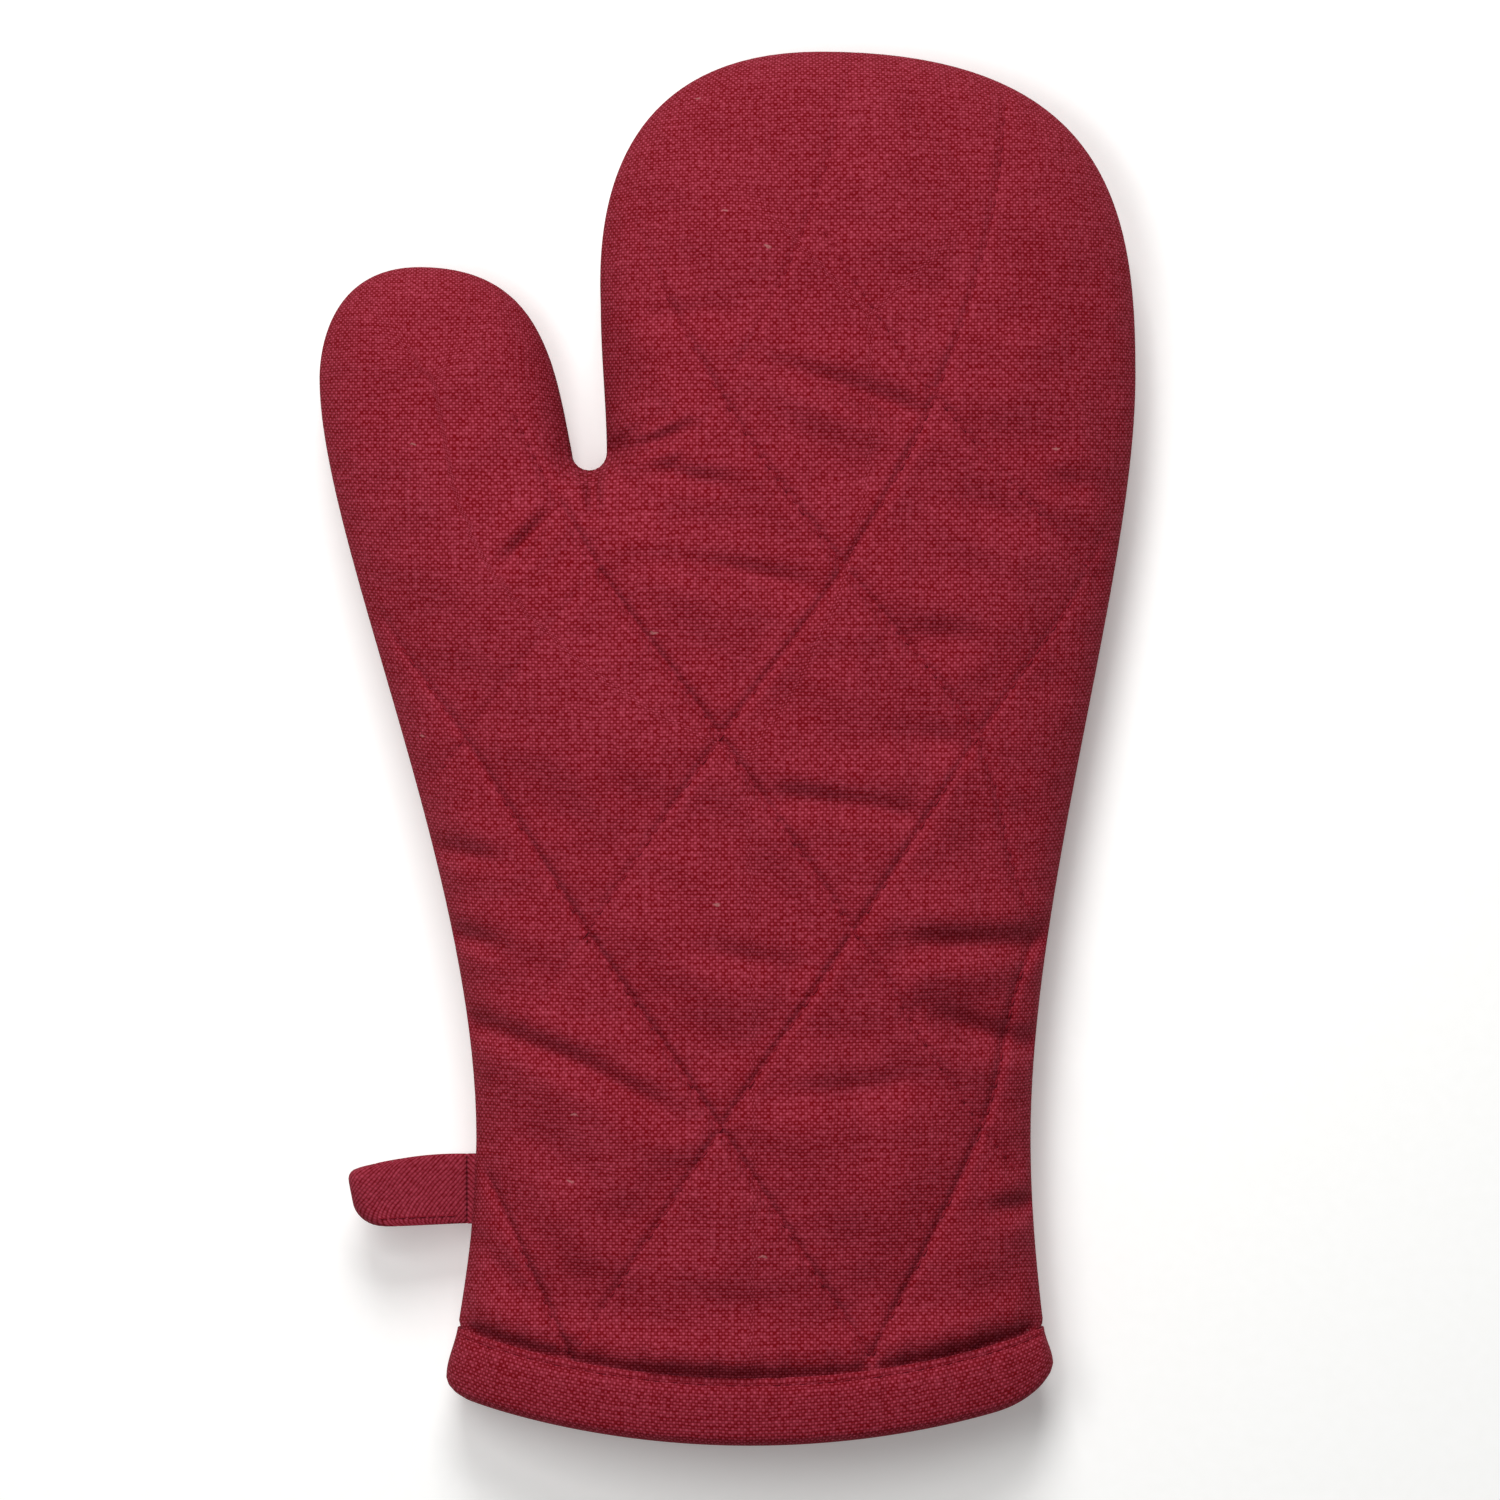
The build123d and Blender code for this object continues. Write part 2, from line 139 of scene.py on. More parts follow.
def sway(p: Point, q: Point, start: float, end: float) -> Array:
    """A curve that leaves p and reaches q along Y; start and end are its shares of straight run."""
    rise = q[1] - p[1]
    return cubic(p, (p[0], p[1] + start * rise), (q[0], q[1] - end * rise), q)


def turn(p: Point, q: Point, start: float, end: float) -> Array:
    """A curve that leaves p along Y and reaches q along X."""
    return cubic(p, (p[0], p[1] + start * (q[1] - p[1])), (q[0] - end * (q[0] - p[0]), q[1]), q)


@dataclass(frozen=True)
class Ridge:
    """A ridge in cloth: its height, negative for a groove, its place beside a line and its width."""

    height: float
    place: float
    width: float

    def at(self, distance: Array) -> Array:
        """Its height at some distances from the line, a bell about its place."""
        return self.height * bell(distance - self.place, self.width)


@dataclass(frozen=True)
class MittPlan:
    """The mitt's plan, heights and layers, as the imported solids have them."""

    half_width: float = 88.0
    top_y: float = 150.0
    hand_side_y: float = 80.0
    fingertip_x: float = 20.0
    finger_inner: Point = (-27.4, 94.0)
    thumb_tip: Point = (-66.4, 103.6)
    thumb_side_y: float = 79.5
    thumb_inner_run: float = 18.5
    thumb_inner_lean: float = 3.7
    thumb_tip_run: float = 27.0
    slit: Point = (-29.8, 59.8)
    slit_width: float = 7.4
    wrist_y: float = -84.0
    wrist_left_x: float = -54.2
    wrist_right_x: float = 65.4
    flare_y: float = -137.0
    flare_left_x: float = -59.6
    flare_right_x: float = 69.5
    cuff_x: float = 4.9
    cuff_edge_y: float = -148.65
    cuff_radius: float = 210.0
    cuff_tail: float = 100.0
    seam_z: float = 15.0
    seam_gap: float = 0.12
    crown: float = 21.0
    back_rounding: float = 8.0
    hem_draw: float = 2.2
    hem_draw_start_y: float = -108.0
    hem_draw_end_y: float = -122.0
    cover_loft: float = 0.35
    cover_cloth: float = 1.0
    batting: float = 4.2
    batting_slack: float = 0.3
    lining_cloth: float = 0.7
    layer_gap: float = 0.35
    binding_width: float = 14.0
    binding_cloth: float = 1.0
    right_corner: Point = (11.0, 7.6)
    left_corner: Point = (3.2, 2.2)
    raw_edge_rise: float = 2.2
    loop_y: float = -95.1
    loop_width: float = 15.0

    def branches(self) -> list[Array]:
        """The outline's curves counterclockwise, from the right side's foot to the left one's.

        The last two numbers of each curve are its shares of straight run.

        Returns:
            X and Y of the points of each curve.
        """
        foot_y = self.flare_y - self.cuff_tail
        cuff_right, wrist_right = (self.flare_right_x, self.flare_y), (self.wrist_right_x, self.wrist_y)
        cuff_left, wrist_left = (self.flare_left_x, self.flare_y), (self.wrist_left_x, self.wrist_y)
        hand_side, fingertip = (self.half_width, self.hand_side_y), (self.fingertip_x, self.top_y)
        half_slit = self.slit_width / 2
        slit_right = (self.slit[0] + half_slit, self.slit[1] + half_slit)
        slit_left = (self.slit[0] - half_slit, self.slit[1] + half_slit)
        thumb_side = (-self.half_width, self.thumb_side_y)
        thumb_lean = (slit_left[0] - self.thumb_inner_lean, slit_left[1] + self.thumb_inner_run)
        thumb_reach = (self.thumb_tip[0] + self.thumb_tip_run, self.thumb_tip[1])
        return [
            sway((self.flare_right_x, foot_y), cuff_right, 0.5, 0.1),
            sway(cuff_right, wrist_right, 0.1, 0.485),
            sway(wrist_right, hand_side, 0.325, 0.255),
            turn(hand_side, fingertip, 0.47, 0.95),
            turn(self.finger_inner, fingertip, 0.15, 1.1)[::-1],
            sway(self.finger_inner, slit_right, 0.3, 0.3),
            turn(slit_right, self.slit, 0.55, 0.55),
            turn(slit_left, self.slit, 0.55, 0.55)[::-1],
            cubic(slit_left, thumb_lean, thumb_reach, self.thumb_tip),
            turn(thumb_side, self.thumb_tip, 0.3, 0.87)[::-1],
            sway(wrist_left, thumb_side, 0.35, 0.21)[::-1],
            sway(cuff_left, wrist_left, 0.163, 0.477)[::-1],
            sway((self.flare_left_x, foot_y), cuff_left, 0.5, 0.1)[::-1],
        ]

    def above_hem(self, points: Array) -> Array:
        """How far points lie above the binding; its edge and the mouth's are arcs about one far point."""
        middle = np.array([self.cuff_x, self.cuff_edge_y + self.cuff_radius])
        return self.cuff_radius - np.linalg.norm(points - middle, axis=-1) - self.binding_width

    def mouth_y(self, x: Array) -> Array:
        """The Y of the mouth's edge at a given X."""
        across = np.square(x - self.cuff_x)
        return self.cuff_edge_y + self.cuff_radius - np.sqrt(self.cuff_radius**2 - across)

    def corner_rise(self, x: Array) -> Array:
        """How far the mouth's edge is rounded up at its two corners, each a quarter of an ellipse.

        Args:
            x: X of each point.

        Returns:
            Heights above the plain arc of the mouth.
        """
        right = np.clip((x - self.flare_right_x) / self.right_corner[0] + 1.0, 0.0, 1.0)
        left = np.clip((self.flare_left_x - x) / self.left_corner[0] + 1.0, 0.0, 1.0)
        rise = self.right_corner[1] * (1.0 - np.sqrt(1.0 - right**2))
        return rise + self.left_corner[1] * (1.0 - np.sqrt(1.0 - left**2))

    def raw_edge_y(self, x: Array) -> Array:
        """The Y of the layers' raw edge, which ends inside the fold of the binding, at a given X."""
        return self.mouth_y(x) + self.corner_rise(x) + self.raw_edge_rise

    def above_edge(self, points: Array) -> Array:
        """How far points lie above the layers' raw edge, along Y."""
        x = np.clip(points[..., 0], -self.half_width, self.half_width)
        return points[..., 1] - self.raw_edge_y(x)

    def drawn(self, y: Array) -> Array:
        """How far the hem draws both panels in towards the seam's height."""
        return self.hem_draw * smooth_step(-y, -self.hem_draw_start_y, -self.hem_draw_end_y)

    def by_loop(self, points: Array, margin: float) -> Array:
        """How far points lie past the loop's width and a margin, up or down the thumb's side."""
        return np.abs(points[:, 1] - self.loop_y) - self.loop_width / 2 - margin


PLAN = MittPlan()


@dataclass(frozen=True)
class Layer:
    """One layer of a panel: its depth, its thickness, its share of the stitched relief and its mesh."""

    word: str
    piece: str
    slot: str
    inset: float
    thickness: float
    relief: float
    spacing: float
    rows: Rows
    line_rows: Rows = ()


COVER = Layer(
    "cover", "cloth", "cover_cotton", -PLAN.cover_loft, PLAN.cover_cloth, relief=1.0, spacing=1.08,
    rows=(0.06, 0.22, 0.5, 0.95, 1.6, 2.5), line_rows=(0.0, 0.45, 0.95, 1.55, 2.3),
)
BATTING = Layer(
    "batting", "pad", "batting", PLAN.cover_cloth + PLAN.layer_gap, PLAN.batting - PLAN.batting_slack,
    relief=1.0, spacing=2.4, rows=(0.5, 1.6),
)
LINING = Layer(
    "lining", "cloth", "lining_cotton", PLAN.cover_cloth + PLAN.batting + 2 * PLAN.layer_gap,
    PLAN.lining_cloth, relief=0.35, spacing=1.9, rows=(0.3, 1.1),
)
LAYERS = (COVER, BATTING, LINING)


@dataclass
class Room:
    """What an outline says of some points: room for a crown, way out, place along it and insideness."""

    room: Array
    distance: Array
    outward: Array
    along: Array
    inside: Array


class Outline:
    """The mitt's outline drawn in by an inset."""

    STEP = 0.5
    CLOSE = 1.3 * STEP
    CHUNK = 250

    def __init__(self, inset: float) -> None:
        """Moves the plan's outline inwards and divides it evenly.

        Args:
            inset: how far it moves.
        """
        points = np.concatenate(PLAN.branches())
        points = points[np.append(True, np.diff(run_of(points)) > TINY)]
        along = unit(np.roll(points, -1, 0) - np.roll(points, 1, 0))
        moved = points - inset * right_of(along)
        self.line = evenly(np.append(moved, moved[:1], axis=0), self.STEP)[:-1]
        self.outward = right_of((np.roll(self.line, -1, 0) - np.roll(self.line, 1, 0)) / 2)
        self.normal = unit(self.outward)
        self.middle = float(self.measure(np.array([[PLAN.cuff_x, 0.0]])).room[0])

    def measure(self, points: Array) -> Room:
        """Measures points against the outline.

        Room is two over the sum, along the outline, of each stretch's outward reach from the point over the
        cube of its distance: the distance to the outline averaged over all directions. Close to the outline
        it is the plain distance. The same sum over the square is a full turn for a point inside.

        Args:
            points: X and Y of each point.

        Returns:
            The points' room, nearest distance, outward direction, place along the outline and insideness.
        """
        measured = []
        for part in np.array_split(points, max(1, len(points) // self.CHUNK)):
            to_line = self.line[None] - part[:, None]
            square = np.maximum(np.einsum("pmk,pmk->pm", to_line, to_line), 1e-9)
            reach = np.einsum("pmk,mk->pm", to_line, self.outward)
            nearest = square.argmin(1)
            each = np.arange(len(part))
            distance = np.sqrt(square[each, nearest])
            plain = np.abs(np.einsum("pk,pk->p", to_line[each, nearest], self.normal[nearest]))
            smooth = 2.0 / np.maximum((reach / square**1.5).sum(1), TINY)
            inside = (reach / square).sum(1) > math.pi
            close = distance < self.CLOSE
            rooms = np.where(close, plain, smooth)
            measured.append(np.stack([rooms, np.where(close, plain, distance), nearest, inside], 1))
        room, distance, nearest, inside = np.concatenate(measured).T.copy()
        nearest = nearest.astype(int)
        return Room(room, distance, self.normal[nearest], nearest * self.STEP, inside > 0.5)

    def bulge(self, room: Array, side: Side) -> Array:
        """How full a panel stands, from 0 at the seam.

        In front it is the square root of the room over the palm's; at the back, a quarter circle to a flat.

        Args:
            room: the points' room.
            side: the panel's side.

        Returns:
            Shares of the panel's full height.
        """
        if side is Side.FRONT:
            return np.sqrt(room / self.middle)
        return np.sqrt(1.0 - np.square(np.maximum(0.0, 1.0 - room / PLAN.back_rounding)))

    def sides(self, y: Array) -> list[Array]:
        """The X of the left and right sides below the slit.

        Args:
            y: Y of each place.

        Returns:
            The left side's X and the right side's.
        """
        low = self.line[self.line[:, 1] < PLAN.slit[1] - 2 * PLAN.slit_width]
        ends = []
        for side in (low[low[:, 0] < PLAN.cuff_x], low[low[:, 0] > PLAN.cuff_x]):
            order = np.argsort(side[:, 1])
            ends.append(np.interp(y, side[order, 1], side[order, 0]))
        return ends


def line_distance(points: Array, lines: list[Array]) -> tuple[Array, Array, Array, Array]:
    """The nearest place on some polylines.

    Args:
        points: X and Y of each point.
        lines: polylines in the same plane.

    Returns:
        Each point's distance, its share along the nearest line, its signed offset, positive to the left, and
        the number of that line.
    """
    starts = np.concatenate([line[:-1] for line in lines])
    runs = np.concatenate([np.diff(line, axis=0) for line in lines])
    owners = np.repeat(np.arange(len(lines)), [len(line) - 1 for line in lines])
    shares = np.concatenate([np.linspace(0.0, 1.0, len(line))[:-1] for line in lines])
    stride = np.concatenate([np.full(len(line) - 1, 1.0 / (len(line) - 1)) for line in lines])
    square = (runs * runs).sum(1)
    results = []
    for part in np.array_split(points, max(1, len(points) // Outline.CHUNK)):
        to_point = part[:, None] - starts[None]
        t = np.clip(np.einsum("psk,sk->ps", to_point, runs) / square, 0.0, 1.0)
        gap = to_point - t[:, :, None] * runs[None]
        far = np.einsum("psk,psk->ps", gap, gap)
        best = far.argmin(1)
        each = np.arange(len(part))
        distance = np.sqrt(far[each, best])
        left = runs[best, 0] * gap[each, best, 1] - runs[best, 1] * gap[each, best, 0]
        share = shares[best] + t[each, best] * stride[best]
        results.append(np.stack([distance, share, np.sign(left) * distance, owners[best]], 1))
    distance, share, offset, owner = np.concatenate(results).T.copy()
    return distance, share, offset, owner.astype(int)


@dataclass
class Sewn:
    """What the quilting says of some points: distance to the nearest line, place along it and its pull."""

    distance: Array
    along: Array
    pull: Array


@dataclass(frozen=True)
class Quilting:
    """Diamond quilting: rows of crossings that draw together towards the fingertips.

    Crossings of even rows lie on even columns, and those of odd rows on odd ones. A line goes one column over
    in each row, and the next family leans the other way.
    """

    middle_x: float = -1.4
    row_y: Rows = (156.9, 114.9, 75.0, 38.3, 2.0, -39.4, -81.4, -130.4)
    half_column: Rows = (15.5, 19.4, 22.9, 26.3, 27.4, 28.5, 28.0, 32.1)
    drawn_crossing: tuple[int, int] = (3, 5)
    drawn_x: float = 67.4
    span_points: int = 8
    line_length: float = 345.0
    # Each line's lean and first column, and how hard it pulls in each row: some threads run slack
    pulls: tuple[tuple[int, int, Rows], ...] = (
        (1, -8, (0.5, 0.5, 0.5, 0.5, 0.7, 1.0, 1.2, 1.2)),
        (1, -6, (0.2, 0.2, 0.2, 0.3, 0.7, 1.2, 1.3, 0.9)),
        (1, -4, (0.1, 0.1, 0.3, 1.1, 1.2, 0.8, 0.6, 0.3)),
        (1, -2, (0.1, 0.1, 0.7, 1.0, 0.8, 0.5, 0.4, 0.3)),
        (1, 0, (0.1, 0.3, 0.7, 0.6, 0.4, 0.3, 0.3, 0.3)),
        (1, 2, (0.1, 0.2, 0.2, 0.2, 0.2, 0.2, 0.2, 0.2)),
        (-1, 2, (0.2, 0.4, 0.25, 0.15, 0.35, 0.3, 0.3, 0.3)),
        (-1, 4, (0.3, 0.4, 0.65, 1.0, 0.75, 0.35, 0.15, 0.1)),
        (-1, 6, (0.2, 0.2, 0.3, 0.3, 0.5, 0.9, 0.95, 0.3)),
        (-1, 8, (0.5, 0.5, 0.5, 0.5, 0.7, 0.9, 1.0, 1.0)),
    )

    def lines(self) -> list[Array]:
        """Each quilting line as points on a Catmull-Rom curve through its crossings.

        Returns:
            X and Y of the points of each line.
        """
        rows = np.arange(len(self.row_y))
        found = []
        for lean, first, _ in self.pulls:
            columns = first + lean * rows
            x = self.middle_x + columns * np.array(self.half_column)
            drawn = (columns == self.drawn_crossing[0]) & (rows == self.drawn_crossing[1])
            found.append(self.through(np.stack([np.where(drawn, self.drawn_x, x), self.row_y], 1)))
        return found

    def through(self, knots: Array) -> Array:
        """A Catmull-Rom curve through knots, whose end tangents run straight on.

        Args:
            knots: X and Y of the crossings.

        Returns:
            X and Y of points along the curve.
        """
        padded = np.concatenate([2 * knots[:1] - knots[1:2], knots, 2 * knots[-1:] - knots[-2:-1]])
        a, b, c, d = padded[:-3, None], padded[1:-2, None], padded[2:-1, None], padded[3:, None]
        t = np.linspace(0.0, 1.0, self.span_points, endpoint=False)[None, :, None]
        curve = 2 * b + (c - a) * t + (2 * a - 5 * b + 4 * c - d) * t**2 + (3 * b - a - 3 * c + d) * t**3
        return np.concatenate([curve.reshape(-1, 2) / 2, knots[-1:]])

    def sewn(self, points: Array) -> Sewn:
        """Where the nearest line runs and how hard it pulls.

        Args:
            points: X and Y of each point.

        Returns:
            Distance to the line, place along it in millimetres, and pull, about 0 to 1.
        """
        distance, share, _, owner = line_distance(points, self.lines())
        pulls = np.array([pull for _, _, pull in self.pulls])
        place = share * (len(self.row_y) - 1)
        row = np.clip(np.floor(place).astype(int), 0, len(self.row_y) - 2)
        past = place - row
        pull = (1 - past) * pulls[owner, row] + past * pulls[owner, row + 1]
        return Sewn(distance, share * self.line_length, pull)


@dataclass
class Cut:
    """A flat cut of the mitt's shape: its points and triangles, and what outline and quilting say of them."""

    points: Array
    faces: Array
    found: Room
    sewn: Sewn


def rows_beside(lines: list[Array], offsets: Rows, spacing: float) -> Array:
    """Points in rows on both sides of some lines, kept only where no other line is nearer.

    Args:
        lines: polylines in the plane.
        offsets: distances of the rows from their line.
        spacing: distance between points along a row.

    Returns:
        X and Y of the points.
    """
    kept, slack = [], 0.05
    paths = [evenly(line, spacing) for line in lines]
    sides = [-right_of(unit(np.gradient(path, axis=0))) for path in paths]
    for offset in sorted({sign * offset for offset in offsets for sign in (-1.0, 1.0)}):
        row = np.concatenate([path + offset * side for path, side in zip(paths, sides)])
        kept.append(row[line_distance(row, lines)[0] > abs(offset) - slack])
    return np.concatenate(kept)


def cut_panel(outline: Outline, layer: Layer, quilting: Quilting) -> Cut:
    """Triangulates the inside of an outline above the mouth.

    The rim is followed at the layer's spacing, a few rows run beside it where the panel is steep and beside
    the quilting lines where it is pressed in, and the rest is a lattice of even triangles.

    Args:
        outline: the seam's line.
        layer: the layer to cut.
        quilting: the lines that press it in.

    Returns:
        The cut, with its triangles counterclockwise from above.
    """
    spacing, lines = layer.spacing, quilting.lines()
    clear, clear_of_rows = 0.6 * spacing, 0.7 * spacing
    seam = evenly(outline.line[PLAN.above_edge(outline.line) > 0], spacing)
    share = 0.5 - 0.5 * np.cos(np.linspace(0.0, math.pi, 900))
    mouth_x = seam[-1, 0] + share * (seam[0, 0] - seam[-1, 0])
    mouth = np.stack([mouth_x, PLAN.raw_edge_y(mouth_x)], 1)
    mouth[[0, -1]] = seam[[-1, 0]]
    rim = np.concatenate([seam, evenly(mouth, spacing)[1:-1]])
    inward = -right_of(unit(np.gradient(seam, axis=0)))
    beside = np.concatenate([seam + row * inward for row in layer.rows])
    beside = beside[PLAN.above_edge(beside) > clear]
    ys = np.arange(PLAN.cuff_edge_y, PLAN.top_y, spacing * math.sqrt(0.75))
    xs = np.arange(-PLAN.half_width, PLAN.half_width, spacing)
    shift = 0.5 * spacing * (np.arange(len(ys)) % 2)
    lattice = np.stack([xs[None] + shift[:, None], np.repeat(ys[:, None], len(xs), 1)], 2).reshape(-1, 2)
    if layer.line_rows:
        lattice = lattice[line_distance(lattice, lines)[0] > layer.line_rows[-1] + clear]
        lattice = np.concatenate([lattice, rows_beside(lines, layer.line_rows, spacing)])
    lattice = lattice[PLAN.above_edge(lattice) > clear]
    found = outline.measure(lattice)
    lattice = lattice[found.inside & (found.distance > layer.rows[-1] + clear_of_rows)]
    points = np.concatenate([rim, beside, lattice])
    border = list(range(len(rim)))
    edges = list(zip(border, border[1:] + border[:1]))
    made = delaunay_2d_cdt([Vector(p) for p in points.tolist()], edges, [], 1, TINY)
    points = np.array([tuple(p) for p in made[0]])
    return Cut(points, np.array(made[2], int), outline.measure(points), quilting.sewn(points))


def vertex_normals(points: Array, faces: Array) -> Array:
    """Unit normals: each point's sum of its triangles' edge products, made one long.

    Args:
        points: the mesh's points.
        faces: its triangles.

    Returns:
        A normal for each point.
    """
    a, b, c = (points[faces[:, k]] for k in range(3))
    product = np.cross(b - a, c - a)
    total = np.zeros_like(points)
    for k in range(3):
        np.add.at(total, faces[:, k], product)
    return unit(total)


def rim_edges(faces: Array, count: int) -> Array:
    """The directed edges of triangles that no other triangle runs back along.

    Args:
        faces: the triangles.
        count: how many points they join.

    Returns:
        The start and end of each edge.
    """
    edges = np.concatenate([faces[:, [0, 1]], faces[:, [1, 2]], faces[:, [2, 0]]])
    code, back = edges @ [count, 1], edges @ [1, count]
    return edges[~np.isin(code, back)]


def grid_faces(rows: int, columns: int, closed: bool) -> Array:
    """Two triangles for each cell of a grid of points that is counted row by row.

    Args:
        rows: how many rows.
        columns: how many points in a row.
        closed: whether the last column joins the first.

    Returns:
        The triangles.
    """
    i, j = np.meshgrid(np.arange(rows - 1), np.arange(columns if closed else columns - 1), indexing="ij")
    a = (i * columns + j).ravel()
    b = (i * columns + (j + 1) % columns).ravel()
    return np.concatenate([np.stack([a, b, b + columns], 1), np.stack([a, b + columns, a + columns], 1)])


@dataclass
class Surface:
    """Points, triangles and flat-cloth coordinates of a piece, in millimetres."""

    points: Array
    faces: Array
    cloth: Array

    def thickened(self, outside: float | Array, inside: float | Array) -> "Surface":
        """A closed shell: the surface moved out and in along its normals, with its rims closed.

        Args:
            outside: distance to the outer skin, one for all points or a column of one each.
            inside: distance to the inner skin, in the same way.

        Returns:
            The closed surface.
        """
        count = len(self.points)
        normals = vertex_normals(self.points, self.faces)
        skins = [self.points + outside * normals, self.points - inside * normals]
        a, b = rim_edges(self.faces, count).T
        walls = [np.stack([b, a, a + count], 1), np.stack([b, a + count, b + count], 1)]
        faces = np.concatenate([self.faces, self.faces[:, ::-1] + count, *walls])
        return Surface(np.concatenate(skins), faces, np.concatenate([self.cloth, self.cloth]))

    def flat_area(self) -> float:
        """The area of the flat cut, half of the sum of its triangles' edge products.

        Returns:
            The area in square metres.
        """
        a, b, c = (self.cloth[self.faces[:, k]] for k in range(3))
        u, v = b - a, c - a
        return float(0.5 * np.abs(u[:, 0] * v[:, 1] - u[:, 1] * v[:, 0]).sum()) * MM * MM

    def flat_size(self, name: str) -> Point:
        """The size of the flat cut, which is also reported.

        Args:
            name: the piece's name.

        Returns:
            Width and length in metres.
        """
        width, length = (float(size) for size in np.ptp(self.cloth, axis=0))
        log.info("%s is cut %.0f by %.0f mm", name, width, length)
        return width * MM, length * MM

    def piece(self, name: str, material: bpy.types.Material) -> bpy.types.Object:
        """Puts the surface into a mesh object at the origin.

        Args:
            name: the piece's name.
            material: its finish.

        Returns:
            The new object, in the scene.
        """
        mesh = bpy.data.meshes.new(name)
        mesh.vertices.add(len(self.points))
        mesh.vertices.foreach_set("co", (self.points * MM).astype(np.float32).ravel())
        mesh.loops.add(self.faces.size)
        mesh.loops.foreach_set("vertex_index", self.faces.astype(np.int32).ravel())
        mesh.polygons.add(len(self.faces))
        mesh.polygons.foreach_set("loop_start", np.arange(0, self.faces.size, 3, dtype=np.int32))
        mesh.polygons.foreach_set("use_smooth", np.ones(len(self.faces), bool))
        layer = mesh.uv_layers.new(name=UV_NAME)
        layer.data.foreach_set("uv", (self.cloth[self.faces.ravel()] / UV_UNIT).astype(np.float32).ravel())
        mesh.materials.append(material)
        mesh.update(calc_edges=True)
        mesh.validate()
        piece = bpy.data.objects.new(name, mesh)
        bpy.context.scene.collection.objects.link(piece)
        log.info("%s: %d triangles", name, len(self.faces))
        return piece

    def dressed(
        self, name: str, node: str, slot: str, finishes: Finishes, body: str = MITT_BODY
    ) -> bpy.types.Object:
        """Makes the piece that a body carries in place of one of the solids.

        Args:
            name: the piece's name.
            node: the solid that it stands for.
            slot: its material slot.
            finishes: the material of each slot.
            body: the body that it rides on.

        Returns:
            The new object.
        """
        piece = self.piece(name, finishes[slot])
        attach(piece, body)
        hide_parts(node)
        return piece


@dataclass(frozen=True)
class Stitch:
    """One kind of stitch: its pitch along a line, its length and its thread's radius."""

    pitch: float
    length: float
    radius: float

    RINGS = (-0.85, -0.4, 0.4, 0.85)
    SIDES = 6
    TAPER = 0.8
    RISE, DIP = 0.5, 1.4

    def sewn(self, centres: Array, along: Array, up: Array) -> Surface:
        """Stitches as small spindles whose ends dip into the cloth.

        Each is rings round a line that falls away from its middle as a parabola. The rings' radius is that of
        an ellipse, with a point at both ends.

        Args:
            centres: where each stitch lies.
            along: its direction.
            up: the way it faces.

        Returns:
            All the stitches as one surface.
        """
        rings, tips, sides = np.array(self.RINGS), [-1.0, 1.0], self.SIDES
        around = 2 * math.pi * np.arange(sides) / sides
        size = self.radius * np.sqrt(1.0 - self.TAPER * rings**2)[:, None]
        lift = self.radius * (self.RISE - self.DIP * np.append(rings, tips) ** 2)
        run = np.append(np.repeat(rings, sides), tips) * self.length / 2
        side = np.append(size * np.cos(around), [0.0, 0.0])
        rise = np.append(size * np.sin(around) + lift[:-2, None], lift[-2:])
        ring = np.arange(sides)
        following = np.roll(ring, -1)
        tip = sides * len(rings)
        last = tip - sides
        start = np.stack([following, ring, np.full(sides, tip)], 1)
        end = np.stack([last + ring, last + following, np.full(sides, tip + 1)], 1)
        faces = np.concatenate([grid_faces(len(rings), sides, True), start, end])[:, ::-1]
        across = np.cross(along, up)
        points = centres[:, None] + run[:, None] * along[:, None]
        points = points + side[:, None] * across[:, None] + rise[:, None] * up[:, None]
        offsets = (np.arange(len(centres)) * len(run))[:, None, None]
        cloth = np.tile(np.stack([run, side], 1), (len(centres), 1))
        return Surface(points.reshape(-1, 3), (faces[None] + offsets).reshape(-1, 3), cloth)


@dataclass(frozen=True)
class Fold:
    """A crease in the padded cloth: three points of its line, its depth and its width."""

    start: Point
    middle: Point
    end: Point
    depth: float
    width: float

    SAMPLES = 20
    REACH = 8.0
    LIP_HEIGHT, LIP_PLACE, LIP_WIDTH = 0.42, 2.1, 1.5
    FIRST_SHARE = 0.04
    END_SOFTENING = 0.3

    def relief(self, points: Array) -> Array:
        """A valley along the line with a low lip on each side, fading out towards both ends.

        The line is the parabola through its three points. Across it the relief is a bell downwards plus two
        wider, lower bells upwards beside it; along it, it rises and falls as the square root of a sine.

        Args:
            points: X and Y of each point.

        Returns:
            Distances outwards.
        """
        t = np.linspace(0.0, 1.0, self.SAMPLES)[:, None]
        a, m, b = (np.array(p, float) for p in (self.start, self.middle, self.end))
        line = (1 - t) ** 2 * a + 2 * t * (1 - t) * (2 * m - (a + b) / 2) + t**2 * b
        relief = np.zeros(len(points))
        far = self.REACH * self.width
        close = ((points > line.min(0) - far) & (points < line.max(0) + far)).all(1)
        if not close.any():
            return relief
        distance, share, offset, _ = line_distance(points[close], [line])
        past = np.linalg.norm(points[close] - np.where(share[:, None] < 0.5, a, b), axis=1)
        fade = np.sqrt(np.sin(np.pi * np.clip(share, self.FIRST_SHARE, 1.0 - self.FIRST_SHARE)))
        fade = fade * (1 - self.END_SOFTENING * bell(past, self.width))
        lip = Ridge(self.LIP_HEIGHT, self.LIP_PLACE * self.width, self.LIP_WIDTH * self.width)
        lips = lip.at(offset) + lip.at(-offset)
        relief[close] = self.depth * fade * (lips - bell(distance, self.width))
        return relief


